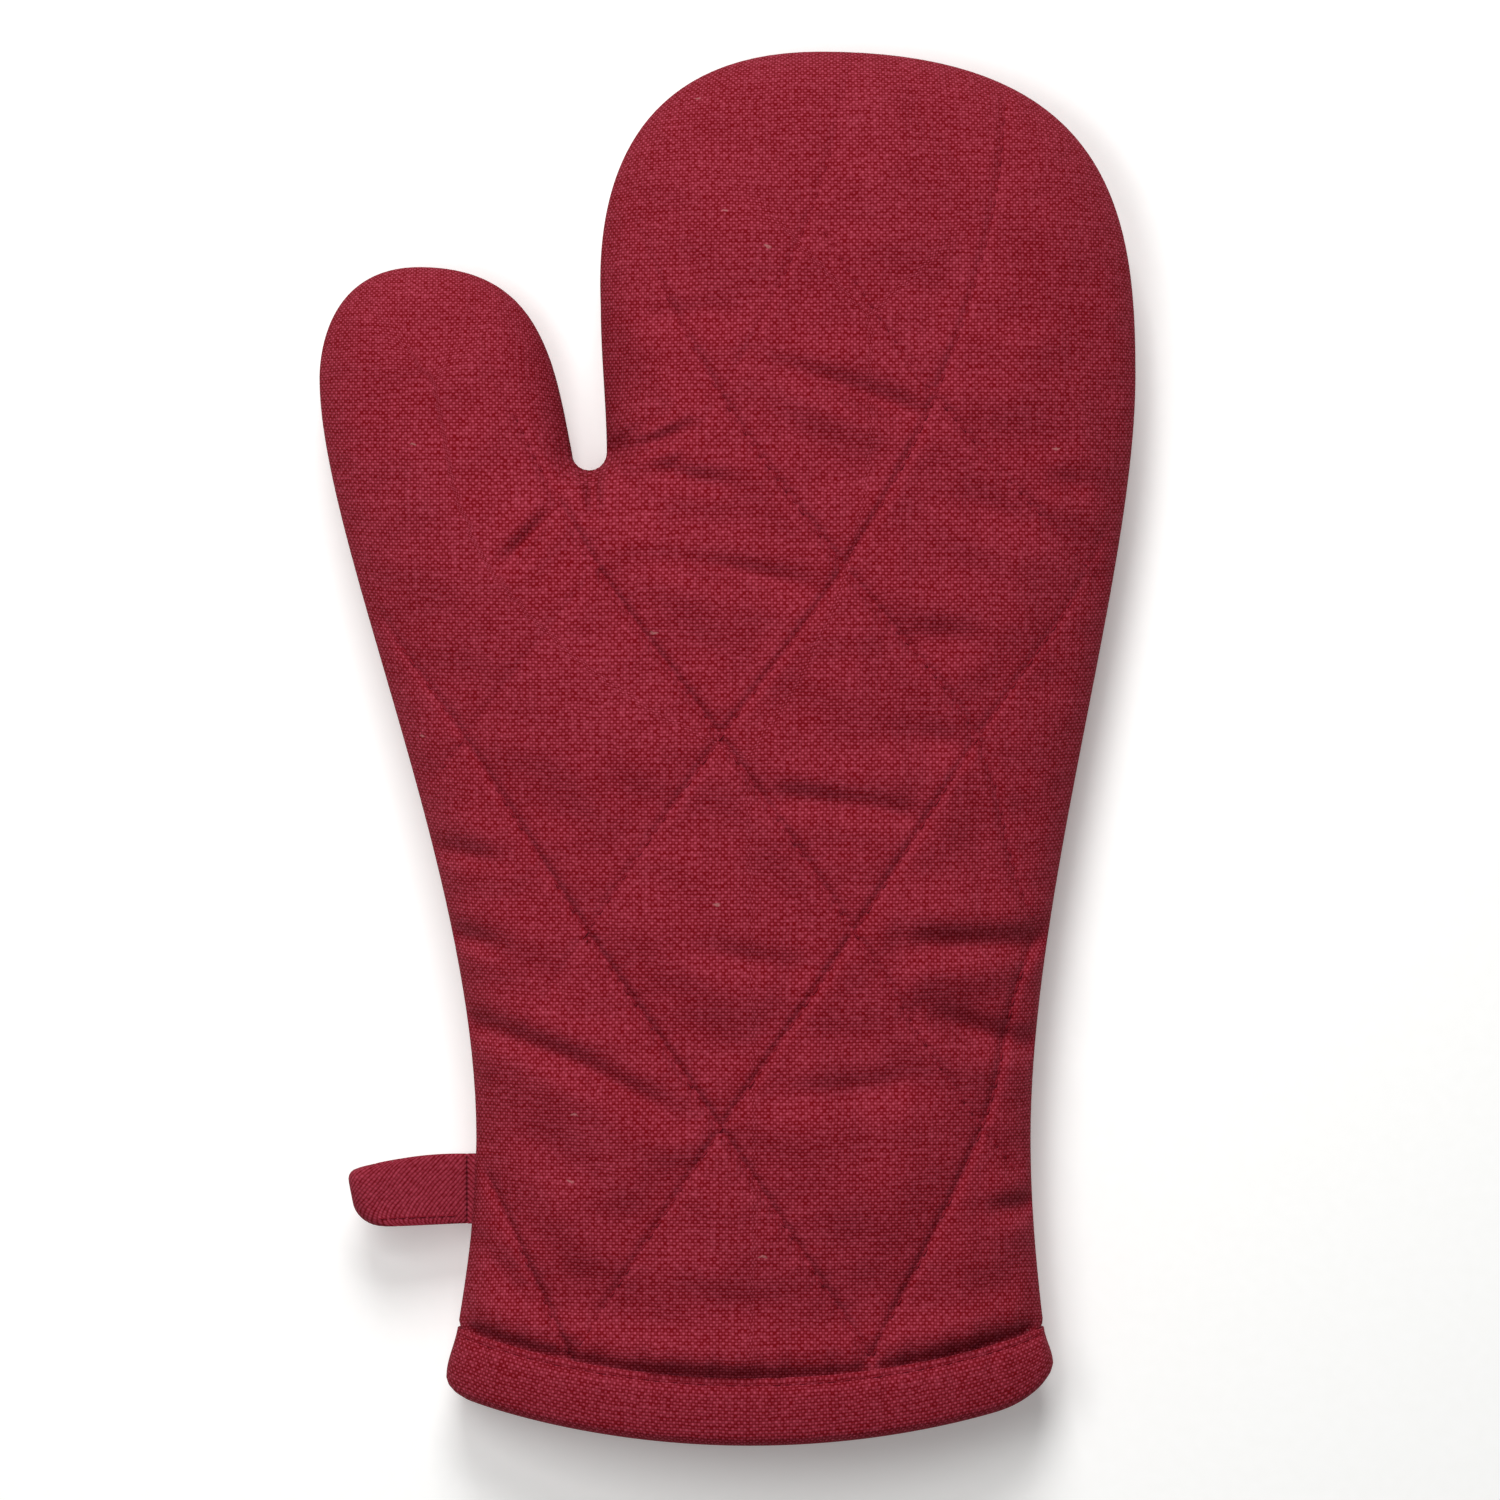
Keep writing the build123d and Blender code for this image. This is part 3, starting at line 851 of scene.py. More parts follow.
FOLDS = (
    Fold((-29.4, 63.0), (-28.9, 56.5), (-28.1, 49.5), 3.2, 1.4),
    Fold((-36.6, 50.9), (-42.0, 44.8), (-47.5, 38.8), 2.3, 1.8),
    Fold((-28.6, 62.3), (-18.5, 64.5), (-8.1, 68.1), 3.0, 1.6),
    Fold((-27.6, 63.4), (-20.5, 67.0), (-12.7, 71.6), 1.8, 1.5),
    Fold((-16.7, 59.9), (-7.0, 57.1), (2.7, 56.6), 1.5, 2.3),
    Fold((-18.9, 91.1), (-9.2, 92.6), (0.5, 92.9), 1.0, 2.5),
    Fold((5.9, 83.2), (26.4, 76.0), (43.7, 69.6), 2.6, 2.9),
    Fold((-18.9, 40.4), (2.7, 37.2), (18.9, 33.5), 1.9, 2.5),
    Fold((41.5, 55.5), (54.5, 50.8), (67.4, 46.9), 1.2, 3.6),
    Fold((67.4, 57.7), (72.8, 56.0), (78.2, 53.4), 1.4, 2.6),
    Fold((35.1, 23.2), (46.9, 23.8), (58.8, 23.2), 1.2, 3.6),
    Fold((28.6, 3.8), (41.5, 1.6), (54.5, 0.5), 1.3, 3.4),
    Fold((7.0, -10.2), (26.4, -12.4), (41.5, -15.6), 2.4, 2.8),
    Fold((-10.2, -42.6), (4.9, -45.4), (20.0, -46.9), 1.3, 2.8),
    Fold((37.2, -41.1), (54.0, -42.0), (72.0, -41.0), 3.4, 3.0),
    Fold((41.5, -56.6), (55.5, -61.4), (70.0, -65.0), 2.9, 3.0),
    Fold((11.3, -73.9), (26.4, -73.4), (41.5, -71.7), 2.0, 3.2),
    Fold((-60.0, -58.0), (-36.0, -66.0), (-10.2, -79.3), 2.9, 2.8),
    Fold((-64.0, -39.6), (-56.5, -40.7), (-48.5, -43.1), 2.2, 2.1),
    Fold((-66.0, -21.4), (-57.5, -22.4), (-48.5, -24.5), 1.7, 2.2),
    Fold((54.5, -98.9), (63.0, -98.6), (72.0, -96.8), 2.4, 2.4),
    Fold((-53.4, -106.2), (-48.0, -112.7), (-42.6, -119.2), 1.3, 3.0),
)


@dataclass
class Puckers:
    """How the cover swells and puckers between its stitches, from a cloth simulation on a square grid."""

    spacing: float = 2.4
    frames: int = 20
    fullness: float = 0.03
    stitch_pull: float = 0.9
    stitch_reach: float = 0.55
    held_room: float = 3.5
    held_pull: float = 0.3
    quick_swell: float = 1.2
    quick_reach: float = 9.0
    cap: float = 2.4
    margin: float = 4.0
    foot_y: float = -154.0
    height: Array = field(default_factory=lambda: np.zeros((2, 2)))

    # A stiff cotton canvas blown up a little by the batting under it
    CLOTH = {
        "quality": 6,
        "mass": 0.25,
        "tension_stiffness": 18.0,
        "compression_stiffness": 18.0,
        "shear_stiffness": 6.0,
        "bending_stiffness": 0.25,
        "use_pressure": True,
        "uniform_pressure_force": 4.0,
    }

    @property
    def low(self) -> Array:
        """The grid's first point."""
        return np.array([-PLAN.half_width - self.margin, self.foot_y])

    def simulate(self, outline: Outline, quilting: Quilting) -> None:
        """Fills the grid with the relief that the simulated cloth takes over its crowned base.

        Args:
            outline: the cover's outline.
            quilting: the lines that hold the cloth down.
        """
        columns = int((2 * PLAN.half_width + 2 * self.margin) / self.spacing) + 1
        rows = int((PLAN.top_y + 2 * self.margin - self.foot_y) / self.spacing) + 1
        j, i = np.meshgrid(np.arange(columns), np.arange(rows))
        points = self.low + self.spacing * np.stack([j.ravel(), i.ravel()], 1)
        found, sewn = outline.measure(points), quilting.sewn(points)
        hold = sewn.pull * (sewn.distance < self.stitch_reach * self.spacing)
        base = PLAN.crown * outline.bulge(np.where(found.inside, found.room, 0.0), Side.FRONT)
        start = np.column_stack([points, base - self.stitch_pull * hold])
        faces = grid_faces(rows, columns, False)
        held = (found.room < self.held_room) | (hold > self.held_pull)
        swollen = self.relaxed(start, faces[found.inside[faces].all(1)], held)
        relief = np.where(found.inside, np.clip(swollen - base, -self.cap, self.cap), 0.0)
        soft = np.pad(relief.reshape(rows, columns), 1, mode="edge")
        soft = (soft[:-2] + 2 * soft[1:-1] + soft[2:]) / 4
        self.height = (soft[:, :-2] + 2 * soft[:, 1:-1] + soft[:, 2:]) / 4
        log.info("puckers from %.2f to %.2f mm", self.height.min(), self.height.max())

    def relaxed(self, start: Array, faces: Array, held: Array) -> Array:
        """Runs Blender's cloth with the stitched points held.

        Args:
            start: the grid's points before the simulation.
            faces: the triangles of the cloth, on some of them.
            held: which points stay where they are.

        Returns:
            The points' heights after the simulation.
        """
        used = np.unique(faces)
        number = np.full(len(start), -1)
        number[used] = np.arange(len(used))
        blank = bpy.data.materials.new("unused")
        cloth = Surface(start[used], number[faces], start[used, :2]).piece("relaxing_cloth", blank)
        group = cloth.vertex_groups.new(name="stitched")
        group.add(np.flatnonzero(held[used]).tolist(), 1.0, "REPLACE")
        modifier = cloth.modifiers.new("relax", "CLOTH")
        for name, value in self.CLOTH.items():
            setattr(modifier.settings, name, value)
        modifier.settings.vertex_group_mass = group.name
        modifier.settings.shrink_min = -self.fullness
        modifier.settings.effector_weights.gravity = 0.0
        modifier.point_cache.frame_start = 1
        modifier.point_cache.frame_end = self.frames
        for number_of_frame in range(1, self.frames + 1):
            bpy.context.scene.frame_set(number_of_frame)
        after = cloth.evaluated_get(bpy.context.evaluated_depsgraph_get()).data
        flat = np.empty(len(used) * 3, np.float32)
        after.vertices.foreach_get("co", flat)
        heights = start[:, 2].copy()
        heights[used] = flat.reshape(-1, 3)[:, 2] / MM
        mesh = cloth.data
        bpy.data.objects.remove(cloth)
        bpy.data.meshes.remove(mesh)
        bpy.data.materials.remove(blank)
        bpy.context.scene.frame_set(1)
        return heights

    def sample(self, points: Array) -> Array:
        """The relief at any points, bilinear between the grid's.

        Args:
            points: X and Y of each point.

        Returns:
            Heights in millimetres.
        """
        place = (points - self.low) / self.spacing
        limit = np.array(self.height.shape[::-1]) - 2
        cell = np.clip(np.floor(place).astype(int), 0, limit)
        u, v = np.clip(place - cell, 0.0, 1.0).T
        j, i = cell.T
        h = self.height
        low = h[i, j] * (1 - u) + h[i, j + 1] * u
        high = h[i + 1, j] * (1 - u) + h[i + 1, j + 1] * u
        return low * (1 - v) + high * v


@dataclass
class Panel:
    """One quilted side of the mitt: its cover, batting and lining, and its quilting stitches.

    Pairs are the distances at which something begins and ends. The ridges of the hem are measured up from the
    binding, those of the channels from their line, and the edge's from the seam.
    """

    side: Side
    quilting: Quilting
    puckers: Puckers
    channel: Ridge = Ridge(-1.1, 0.0, 1.0)
    beside: Ridge = Ridge(0.22, 1.9, 1.5)
    tick_period: float = 3.4
    tick_share: float = 0.4
    gathers: Ridge = Ridge(0.5, 1.5, 4.5)
    gather_period: float = 8.3
    hem_puff: Ridge = Ridge(1.7, 5.5, 3.8)
    hem_groove: Ridge = Ridge(-1.6, 0.1, 1.3)
    groove_at_ends: float = 0.6
    hem_ends: Point = (28.0, 58.0)
    under_binding: float = 0.8
    binding_fade: Point = (0.0, 2.0)
    edge_puckers: Ridge = Ridge(0.3, 2.5, 3.0)
    edge_period: float = 11.0
    loft_fade: Point = (-1.0, 4.0)
    relief_fade: Point = (0.3, 5.0)
    fold_fade: Point = (0.0, 1.6)
    lining_fade: Point = (0.5, 8.0)
    groove: float = 0.6
    groove_room: float = 0.55
    hem_tuck: float = 1.1
    tuck_room: float = 4.0
    tuck_fade: Point = (-0.6, 0.9)
    loop_lift: float = 1.25
    loop_room: float = 4.0
    loop_fade: float = 3.0
    slit_spare: float = 0.25
    slit_ease: Point = (4.0, 22.0)
    spare_reach: float = 40.0
    thinnest_batting: float = 0.6
    batting_fill: float = 0.4
    stitch: Stitch = Stitch(3.0, 2.1, 0.24)
    stitch_room: float = 4.0
    stitch_above_hem: float = 1.5
    stitch_least_pull: float = 0.34

    @property
    def name(self) -> str:
        """The panel's plain name, as its nodes have it."""
        return self.side.name.lower()

    def relief(self, cut: Cut) -> Array:
        """How far the stitched cloth stands out from the smooth crown.

        It is the simulated swelling, less a narrow bell along each quilting line with small puckers beside
        it, plus a puff above the hem with a ripple of gathers, puckers by the seam and the front's folds.

        Args:
            cut: the points, and what outline and quilting say of them.

        Returns:
            Distances outwards.
        """
        found, sewn = cut.found, cut.sewn
        above_hem = PLAN.above_hem(cut.points)
        ticks = ripple(sewn.along, self.tick_period)
        pressed = (1.0 + self.tick_share * ticks) * self.channel.at(sewn.distance)
        relief = self.puckers.sample(cut.points) * smooth_step(above_hem, *self.loft_fade)
        relief += sewn.pull * (ticks * self.beside.at(sewn.distance) + pressed)
        from_middle = np.abs(cut.points[:, 0] - PLAN.cuff_x)
        at_ends = 1.0 + self.groove_at_ends * smooth_step(from_middle, *self.hem_ends)
        relief += ripple(cut.points[:, 0], self.gather_period) * self.gathers.at(above_hem)
        relief += self.hem_puff.at(above_hem) + at_ends * self.hem_groove.at(above_hem)
        relief -= self.under_binding * smooth_step(-above_hem, *self.binding_fade)
        relief += ripple(found.along, self.edge_period) * self.edge_puckers.at(found.room)
        relief *= smooth_step(found.room, *self.relief_fade)
        if self.side is Side.FRONT:
            folds = sum(fold.relief(cut.points) for fold in FOLDS)
            relief += folds * smooth_step(found.room, *self.fold_fade)
        return relief

    def skin(self, cut: Cut, outline: Outline, layer: Layer) -> Surface:
        """The outer skin of one layer, curved up from its flat cut.

        The front stands over the seam and the back drops from it by the outline's bulge. Beside the seam both
        draw in to a groove, the loop's tail lifts them, and the cover alone is tucked in under the binding.

        Args:
            cut: the layer's flat triangles.
            outline: its outline.
            layer: the layer.

        Returns:
            The skin, facing outwards.
        """
        points, outward = cut.points, cut.found.outward
        room = np.where(cut.found.distance < 1e-3, 0.0, cut.found.room)
        above_hem = PLAN.above_hem(points)
        out = layer.relief * self.relief(cut)
        if layer is LINING:
            out = out * smooth_step(above_hem, *self.lining_fade)
        lift = self.loop_lift * bell(room, self.loop_room) * (points[:, 0] < 0)
        lift = lift * (1 - smooth_step(PLAN.by_loop(points, 0.0), 0.0, self.loop_fade))
        base = PLAN.seam_z + self.side.value * (PLAN.seam_gap / 2 + lift)
        full = PLAN.crown if self.side is Side.FRONT else base
        deep = layer.inset + PLAN.drawn(points[:, 1])
        z = base + self.side.value * ((full - deep) * outline.bulge(room, self.side) + out)
        if self.side is Side.BACK:
            z = np.maximum(z, max(layer.inset, 0.0))
        closing = self.groove * np.square(np.maximum(0.0, 1.0 - room / self.groove_room))
        if layer is COVER:
            tucked = np.maximum(0.0, 1.0 - room / self.tuck_room) * smooth_step(-above_hem, *self.tuck_fade)
            closing += self.hem_tuck * tucked
        plan = points - closing[:, None] * outward
        eased = smooth_step(np.linalg.norm(points - np.array(PLAN.slit), axis=1), *self.slit_ease)
        spare = self.spare(room, outline) * (self.slit_spare + (1.0 - self.slit_spare) * eased)
        faces = cut.faces if self.side is Side.FRONT else cut.faces[:, ::-1]
        return Surface(np.column_stack([plan, z]), faces, points + outward * spare[:, None])

    def spare(self, room: Array, outline: Outline) -> Array:
        """How much longer the cloth is than its plan between the middle and each point.

        It is the running sum of the slope's length less one, from far inside out to the point's room.

        Args:
            room: the points' room.
            outline: the layer's outline.

        Returns:
            Lengths of spare cloth.
        """
        at = np.linspace(0.0, 1.0, 400) ** 2 * self.spare_reach
        full = PLAN.crown if self.side is Side.FRONT else PLAN.seam_z
        rise = full * outline.bulge(at, self.side)
        step = np.hypot(np.diff(at), np.diff(rise)) - np.diff(at)
        return np.interp(room, at, np.append(np.cumsum(step[::-1])[::-1], 0.0))

    def build(self, outlines: dict[str, Outline], cuts: dict[str, Cut], finishes: Finishes) -> None:
        """Makes the panel's layers and stitches, and puts each in place of its node.

        Args:
            outlines: the outline of each layer.
            cuts: the flat cut of each layer.
            finishes: the material of each slot.
        """
        batting_name = f"{self.name}_{BATTING.word}_{BATTING.piece}"
        for layer in LAYERS:
            cut = cuts[layer.word]
            skin = self.skin(cut, outlines[layer.word], layer)
            inside: float | Array = layer.thickness
            if layer is BATTING:
                squeezed = layer.thickness + np.minimum(0.0, self.relief(cut))
                inside = np.maximum(self.thinnest_batting, squeezed)[:, None]
            name, node = f"{self.name}_{layer.word}_{layer.piece}", f"{self.name}_{layer.word}"
            piece = skin.thickened(0.0, inside).dressed(name, node, layer.slot, finishes)
            if layer is BATTING:
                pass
            else:
                flat, area = skin.flat_size(name), skin.flat_area()
        thread = self.quilting_stitches(outlines[COVER.word])
        thread.dressed(f"{self.name}_quilting_stitches", f"{self.name}_quilting", "thread", finishes)

    def quilting_stitches(self, outline: Outline) -> Surface:
        """One short stitch after another along the quilting lines, on the floor of their channels.

        Args:
            outline: the cover's outline.

        Returns:
            The stitches.
        """
        runs = [evenly(line, self.stitch.pitch) for line in self.quilting.lines()]
        centres = np.concatenate([(run[1:] + run[:-1]) / 2 for run in runs])
        ahead = np.concatenate([np.diff(run, axis=0) for run in runs])
        found = outline.measure(centres)
        keep = found.inside & (found.room > self.stitch_room)
        keep &= PLAN.above_hem(centres) > self.stitch_above_hem
        keep &= self.quilting.sewn(centres).pull > self.stitch_least_pull
        centres, ahead = centres[keep], unit(ahead[keep])
        places = []
        for reach in (-self.stitch.length / 2, 0.0, self.stitch.length / 2):
            spots = centres + reach * ahead
            cut = Cut(spots, np.zeros((0, 3), int), outline.measure(spots), self.quilting.sewn(spots))
            places.append(self.skin(cut, outline, COVER).points)
        along = unit(places[2] - places[0])
        across = np.cross(along, [0.0, 0.0, float(self.side.value)])
        return self.stitch.sewn(places[1], along, unit(np.cross(across, along)))


@dataclass
class Cuff:
    """The strip that binds the mouth, folded over both panels, and the stitches that hold it.

    Its ridges are measured down from its stitched edge.
    """

    columns: int = 300
    outside_inset: float = 0.5
    inside_inset: float = LINING.inset + PLAN.lining_cloth + PLAN.layer_gap + PLAN.binding_cloth / 2
    over_cover: float = 1.0
    flare: float = 1.1
    flare_share: float = 0.75
    edge_round: float = 2.2
    hem_rows: Rows = (0.0, 0.35, 0.75, 1.2, 1.6, 2.0, 2.5, 3.2)
    first_plain_row: float = 4.2
    pucker: Ridge = Ridge(0.45, 1.5, 4.2)
    pucker_period: float = 7.3
    back_shift: float = 30.0
    proud: float = 0.8
    stitch_tuck: Ridge = Ridge(-0.9, 1.5, 0.9)
    edge_tuck: Ridge = Ridge(-0.9, 0.0, 0.6)
    seam_share: float = 0.08
    cover_share: float = 0.4
    stitch: Stitch = Stitch(3.2, 2.3, 0.25)
    stitch_rise: float = 0.5
    stitch_from_seam: float = 3.5

    def lens(self, outline: Outline, inset: float, around: Array, above: float) -> Array:
        """A flattened ring about the mouth, at a height above its edge.

        The front goes across from the left seam to the right one and the back returns. Its Z is the panels'
        own, by the outline's bulge, and its edge is rounded up at the mouth's corners.

        Args:
            outline: the ring's outline.
            inset: how deep it lies inside the cover's face.
            around: place round the ring, 0 to 1 in front and 1 to 2 at the back.
            above: height above the mouth's edge.

        Returns:
            Points of the ring.
        """
        share = 0.5 - 0.5 * np.cos(math.pi * around)
        y = np.full(around.shape, PLAN.flare_y)
        for _ in range(4):
            left, right = outline.sides(y)
            x = left + share * (right - left)
            rise = PLAN.corner_rise(x)
            y = PLAN.mouth_y(x) + rise + above * (PLAN.binding_width - rise) / PLAN.binding_width
        points = np.stack([x, y], 1)
        at_seam = np.minimum(share, 1 - share) < TINY
        room = np.where(at_seam, 0.0, outline.measure(points).room)
        deep = inset + PLAN.hem_draw
        top = PLAN.seam_z + (PLAN.crown - deep) * outline.bulge(room, Side.FRONT)
        bottom = PLAN.seam_z - (PLAN.seam_z - deep) * outline.bulge(room, Side.BACK)
        return np.column_stack([points, np.where(around <= 1.0, top, bottom)])

    def outer(self, outline: Outline, around: Array, above: float) -> Array:
        """The strip's outside: puckered at its stitched edge, a little proud in its middle.

        Args:
            outline: the outside's outline.
            around: place round the ring, 0 to 1 in front and 1 to 2 at the back.
            above: height above the mouth's edge.

        Returns:
            Points of the outside.
        """
        place = self.lens(outline, self.outside_inset, around, above)
        from_hem = PLAN.binding_width - above
        across = place[:, 0] + self.back_shift * (around > 1)
        out = ripple(across, self.pucker_period) * self.pucker.at(from_hem)
        out += self.proud * np.sin(math.pi * np.clip(above / PLAN.binding_width, 0.0, 1.0))
        out += self.stitch_tuck.at(from_hem) + self.edge_tuck.at(from_hem)
        facing = np.where(around <= 1.0, 1.0, -1.0)
        at_side = smooth_step(np.minimum(around % 1.0, 1 - around % 1.0), 0.0, self.seam_share)
        over = self.over_cover * smooth_step(at_side, 0.0, self.cover_share)
        place[:, 2] += facing * (at_side * out + over)
        down = smooth_step(from_hem, 0.0, self.flare_share * PLAN.binding_width)
        place[:, 0] -= self.flare * np.cos(math.pi * around) * down
        return place

    def strip(self) -> Surface:
        """The strip's middle, from its outer hem down round the mouth's edge and up to its inner hem.

        The turn between outside and inside is a half ellipse from one to the other, bulging downwards.

        Returns:
            The open surface halfway through the strip's cloth.
        """
        around = np.linspace(0.0, 2.0, self.columns, endpoint=False)
        width, low = PLAN.binding_width, self.edge_round
        outside, inside = Outline(self.outside_inset), Outline(self.inside_inset)
        plain_rows = np.linspace(width - self.first_plain_row, low, 9)
        heights = np.append(width - np.array(self.hem_rows), plain_rows)
        outer_rows = [self.outer(outside, around, h) for h in heights]
        inner_rows = [self.lens(inside, self.inside_inset, around, h) for h in np.linspace(low, width, 8)]
        middle = (outer_rows[-1] + inner_rows[0]) / 2
        half = (outer_rows[-1] - inner_rows[0]) / 2
        down = np.array([0.0, -low, 0.0])
        turns = np.linspace(0.0, math.pi, 9)[1:-1]
        edge_rows = [middle + half * math.cos(a) + down * math.sin(a) for a in turns]
        rows = np.stack(outer_rows + edge_rows + inner_rows)
        across = np.append(0.0, np.cumsum(np.linalg.norm(np.diff(rows, axis=0), axis=2).mean(1)))
        ring = rows[len(self.hem_rows) // 2]
        cloth = np.stack(np.meshgrid(run_of(ring), across), 2).reshape(-1, 2)
        return Surface(rows.reshape(-1, 3), grid_faces(len(rows), self.columns, True)[:, ::-1], cloth)

    def stitching(self) -> Surface:
        """The stitches along the strip's upper edge, in front and at the back.

        Returns:
            The stitches.
        """
        around = np.linspace(0.0, 2.0, 700)
        height = PLAN.binding_width - self.stitch_tuck.place
        outside, next_row = Outline(self.outside_inset), 0.6
        path = evenly(self.outer(outside, around, height), self.stitch.pitch)
        below = self.outer(outside, around, height - next_row)
        below = evenly(below, run_of(below)[-1] / (len(path) - 1))
        count = min(len(path), len(below))
        path, below = path[:count], below[:count]
        along = unit(np.gradient(path, axis=0))
        up = unit(np.cross(below - path, along))
        middle = np.array([PLAN.cuff_x, PLAN.flare_y, PLAN.seam_z])
        up = up * np.where(((path - middle) * up).sum(1) < 0, -1.0, 1.0)[:, None]
        keep = np.abs(path[:, 2] - PLAN.seam_z) > self.stitch_from_seam
        return self.stitch.sewn((path + self.stitch_rise * up)[keep], along[keep], up[keep])

    def build(self, finishes: Finishes) -> None:
        """Makes the binding and its stitches, and puts them in place of their nodes.

        Args:
            finishes: the materials by slot.
        """
        strip, name, half = self.strip(), "cuff_binding_strip", PLAN.binding_cloth / 2
        piece = strip.thickened(half, half).dressed(name, "cuff_binding", "binding_cotton", finishes)
        strip.flat_size(name)
        self.stitching().dressed("binding_stitches", "binding_stitching", "thread", finishes)


@dataclass
class SideSeam:
    """The stitches that close the two panels round hand and thumb."""

    stitch: Stitch = Stitch(3.4, 1.3, 0.2)
    inset: float = 0.45
    slant: float = 0.5
    end_gap: float = 2.0

    def build(self, finishes: Finishes) -> None:
        """Makes short slanting stitches in the seam's groove, and puts them in place of their node.

        Args:
            finishes: the materials by slot.
        """
        line = Outline(0.0).line
        seam = evenly(line[PLAN.above_hem(line) > self.end_gap], self.stitch.pitch)
        along = unit(np.gradient(seam, axis=0))
        free = (PLAN.by_loop(seam, self.end_gap) >= 0) | (seam[:, 0] >= 0)
        seam, along = seam[free], along[free]
        outward, flat = right_of(along), np.zeros(len(seam))
        centres = np.column_stack([seam - self.inset * outward, flat + PLAN.seam_z])
        slant = unit(np.column_stack([self.slant * along, flat + 1.0]))
        stitches = self.stitch.sewn(centres, slant, np.column_stack([outward, flat]))
        stitches.dressed("side_seam_stitches", "side_seam", "thread", finishes)


@dataclass
class HangingLoop:
    """A strip folded in two: its free loop, the tail that the side seam holds, and its line of stitches."""

    hinge_x: float = -57.227
    reach: float = 25.0
    ply: float = 1.2
    eye: float = 6.0
    fold_lean: float = 8.0
    root: float = 0.85
    step: float = 0.62
    across: int = 23
    upper_round: float = 3.0
    lower_round: float = 6.0
    lower_drop: float = 0.5
    tip_drop: float = 3.4
    tip_slant: float = 2.4
    edge_pinch: float = 0.14
    wave: float = 0.25
    wave_turns: float = 1.1
    wave_lag: float = 3.0
    thin_edge: float = 0.1
    tail_gap: float = 0.08
    tail_reach: float = 6.2
    tail_fill: float = 0.9
    tail_step: float = 0.5
    bend_half: float = 0.15
    bend_x: Point = (2.0, 0.5)
    stitch: Stitch = Stitch(2.48, 1.9, 0.2)
    stitch_inset: float = 1.8
    stitch_rise: float = 0.68
    stitched: Point = (2.0, 18.75)

    def side_path(self) -> Array:
        """The strip from the side: out along the upper ply, round the fold and back along the lower one.

        Returns:
            X and Z of points along it.
        """
        radius = (self.eye + self.ply) / 2
        fold_x = self.hinge_x - self.reach + self.eye / 2 + self.ply
        root_x, half = self.hinge_x + self.root, self.ply / 2
        turns = np.radians(np.linspace(90.0 - self.fold_lean, 270.0 + self.fold_lean, 40))
        fold = np.stack([fold_x + radius * np.cos(turns), radius * np.sin(turns)], 1)
        return evenly(np.concatenate([[[root_x, half]], fold, [[root_x, -half]]]), self.step)

    def drape(self, path: Array, share: Array) -> Array:
        """Places of the strip, from its path and the share of its width counted from the lower edge.

        The lower edge is straight and the upper one falls as a square towards the fold. The fold slants, and
        its corners are quarter circles. Both edges are pinched, and a slow wave runs out to the fold.

        Args:
            path: X and Z along the strip.
            share: share of the width.

        Returns:
            A grid of points, a row for each point of the path.
        """
        out = np.clip((self.hinge_x - path[:, 0]) / self.reach, 0.0, 1.0)[:, None]
        low = PLAN.loop_y - PLAN.loop_width / 2 - self.lower_drop * out
        high = PLAN.loop_y + PLAN.loop_width / 2 - self.tip_drop * out**2
        corner = np.zeros(len(share))
        for radius, place in ((self.lower_round, share), (self.upper_round, 1.0 - share)):
            inside = np.clip(radius - PLAN.loop_width * place, 0.0, radius)
            corner += radius - np.sqrt(radius**2 - inside**2)
        short = 1.0 - (corner + self.tip_slant * (1 - share)) / self.reach
        x = self.hinge_x + (path[:, :1] - self.hinge_x) * np.where(out > 0, short, 1.0)
        y = low + (high - low) * share
        pinched = 1.0 - self.edge_pinch * (1.0 - np.sin(math.pi * share))
        z = PLAN.seam_z + path[:, 1:] * pinched
        z = z + self.wave * np.sin(2.0 * math.pi * self.wave_turns * share + self.wave_lag * out) * out
        return np.stack([x, y, z], 2)

    def half_ply(self, strip: Surface) -> Array:
        """Half the strip's thickness at each point: full in the middle, rounded off at both edges."""
        from_middle = 2.0 * strip.cloth[:, 1:] / PLAN.loop_width - 1.0
        return self.ply / 2 * np.maximum(self.thin_edge, np.sqrt(1.0 - from_middle**6))

    def strip(self, path: Array) -> Surface:
        """A strip along a path, facing outwards, with its cloth laid out flat.

        Args:
            path: X and Z along the strip.

        Returns:
            The open surface halfway through the strip's cloth.
        """
        share = 0.5 - 0.5 * np.cos(math.pi * np.linspace(0.0, 1.0, self.across))
        flat = np.meshgrid(run_of(path), PLAN.loop_width * share, indexing="ij")
        faces = grid_faces(len(path), len(share), False)[:, ::-1]
        return Surface(self.drape(path, share).reshape(-1, 3), faces, np.stack(flat, 2).reshape(-1, 2))

    def stitching(self, path: Array) -> Surface:
        """The stitches along the lower edge, on both plies as far as the fold's shoulders.

        Args:
            path: X and Z along the strip.

        Returns:
            The stitches.
        """
        share, next_share = self.stitch_inset / PLAN.loop_width, 0.05
        row, above = self.drape(path, np.array([share, share + next_share])).swapaxes(0, 1)
        along = unit(np.gradient(row, axis=0))
        up = unit(np.cross(above - row, along))
        up = up * np.sign(up[:, 2:] * (row[:, 2:] - PLAN.seam_z))
        from_hinge = self.hinge_x - row[:, 0]
        keep = np.flatnonzero((from_hinge > self.stitched[0]) & (from_hinge < self.stitched[1]))
        keep = keep[:: round(self.stitch.pitch / self.step)]
        return self.stitch.sewn(row[keep] + self.stitch_rise * up[keep], along[keep], up[keep])

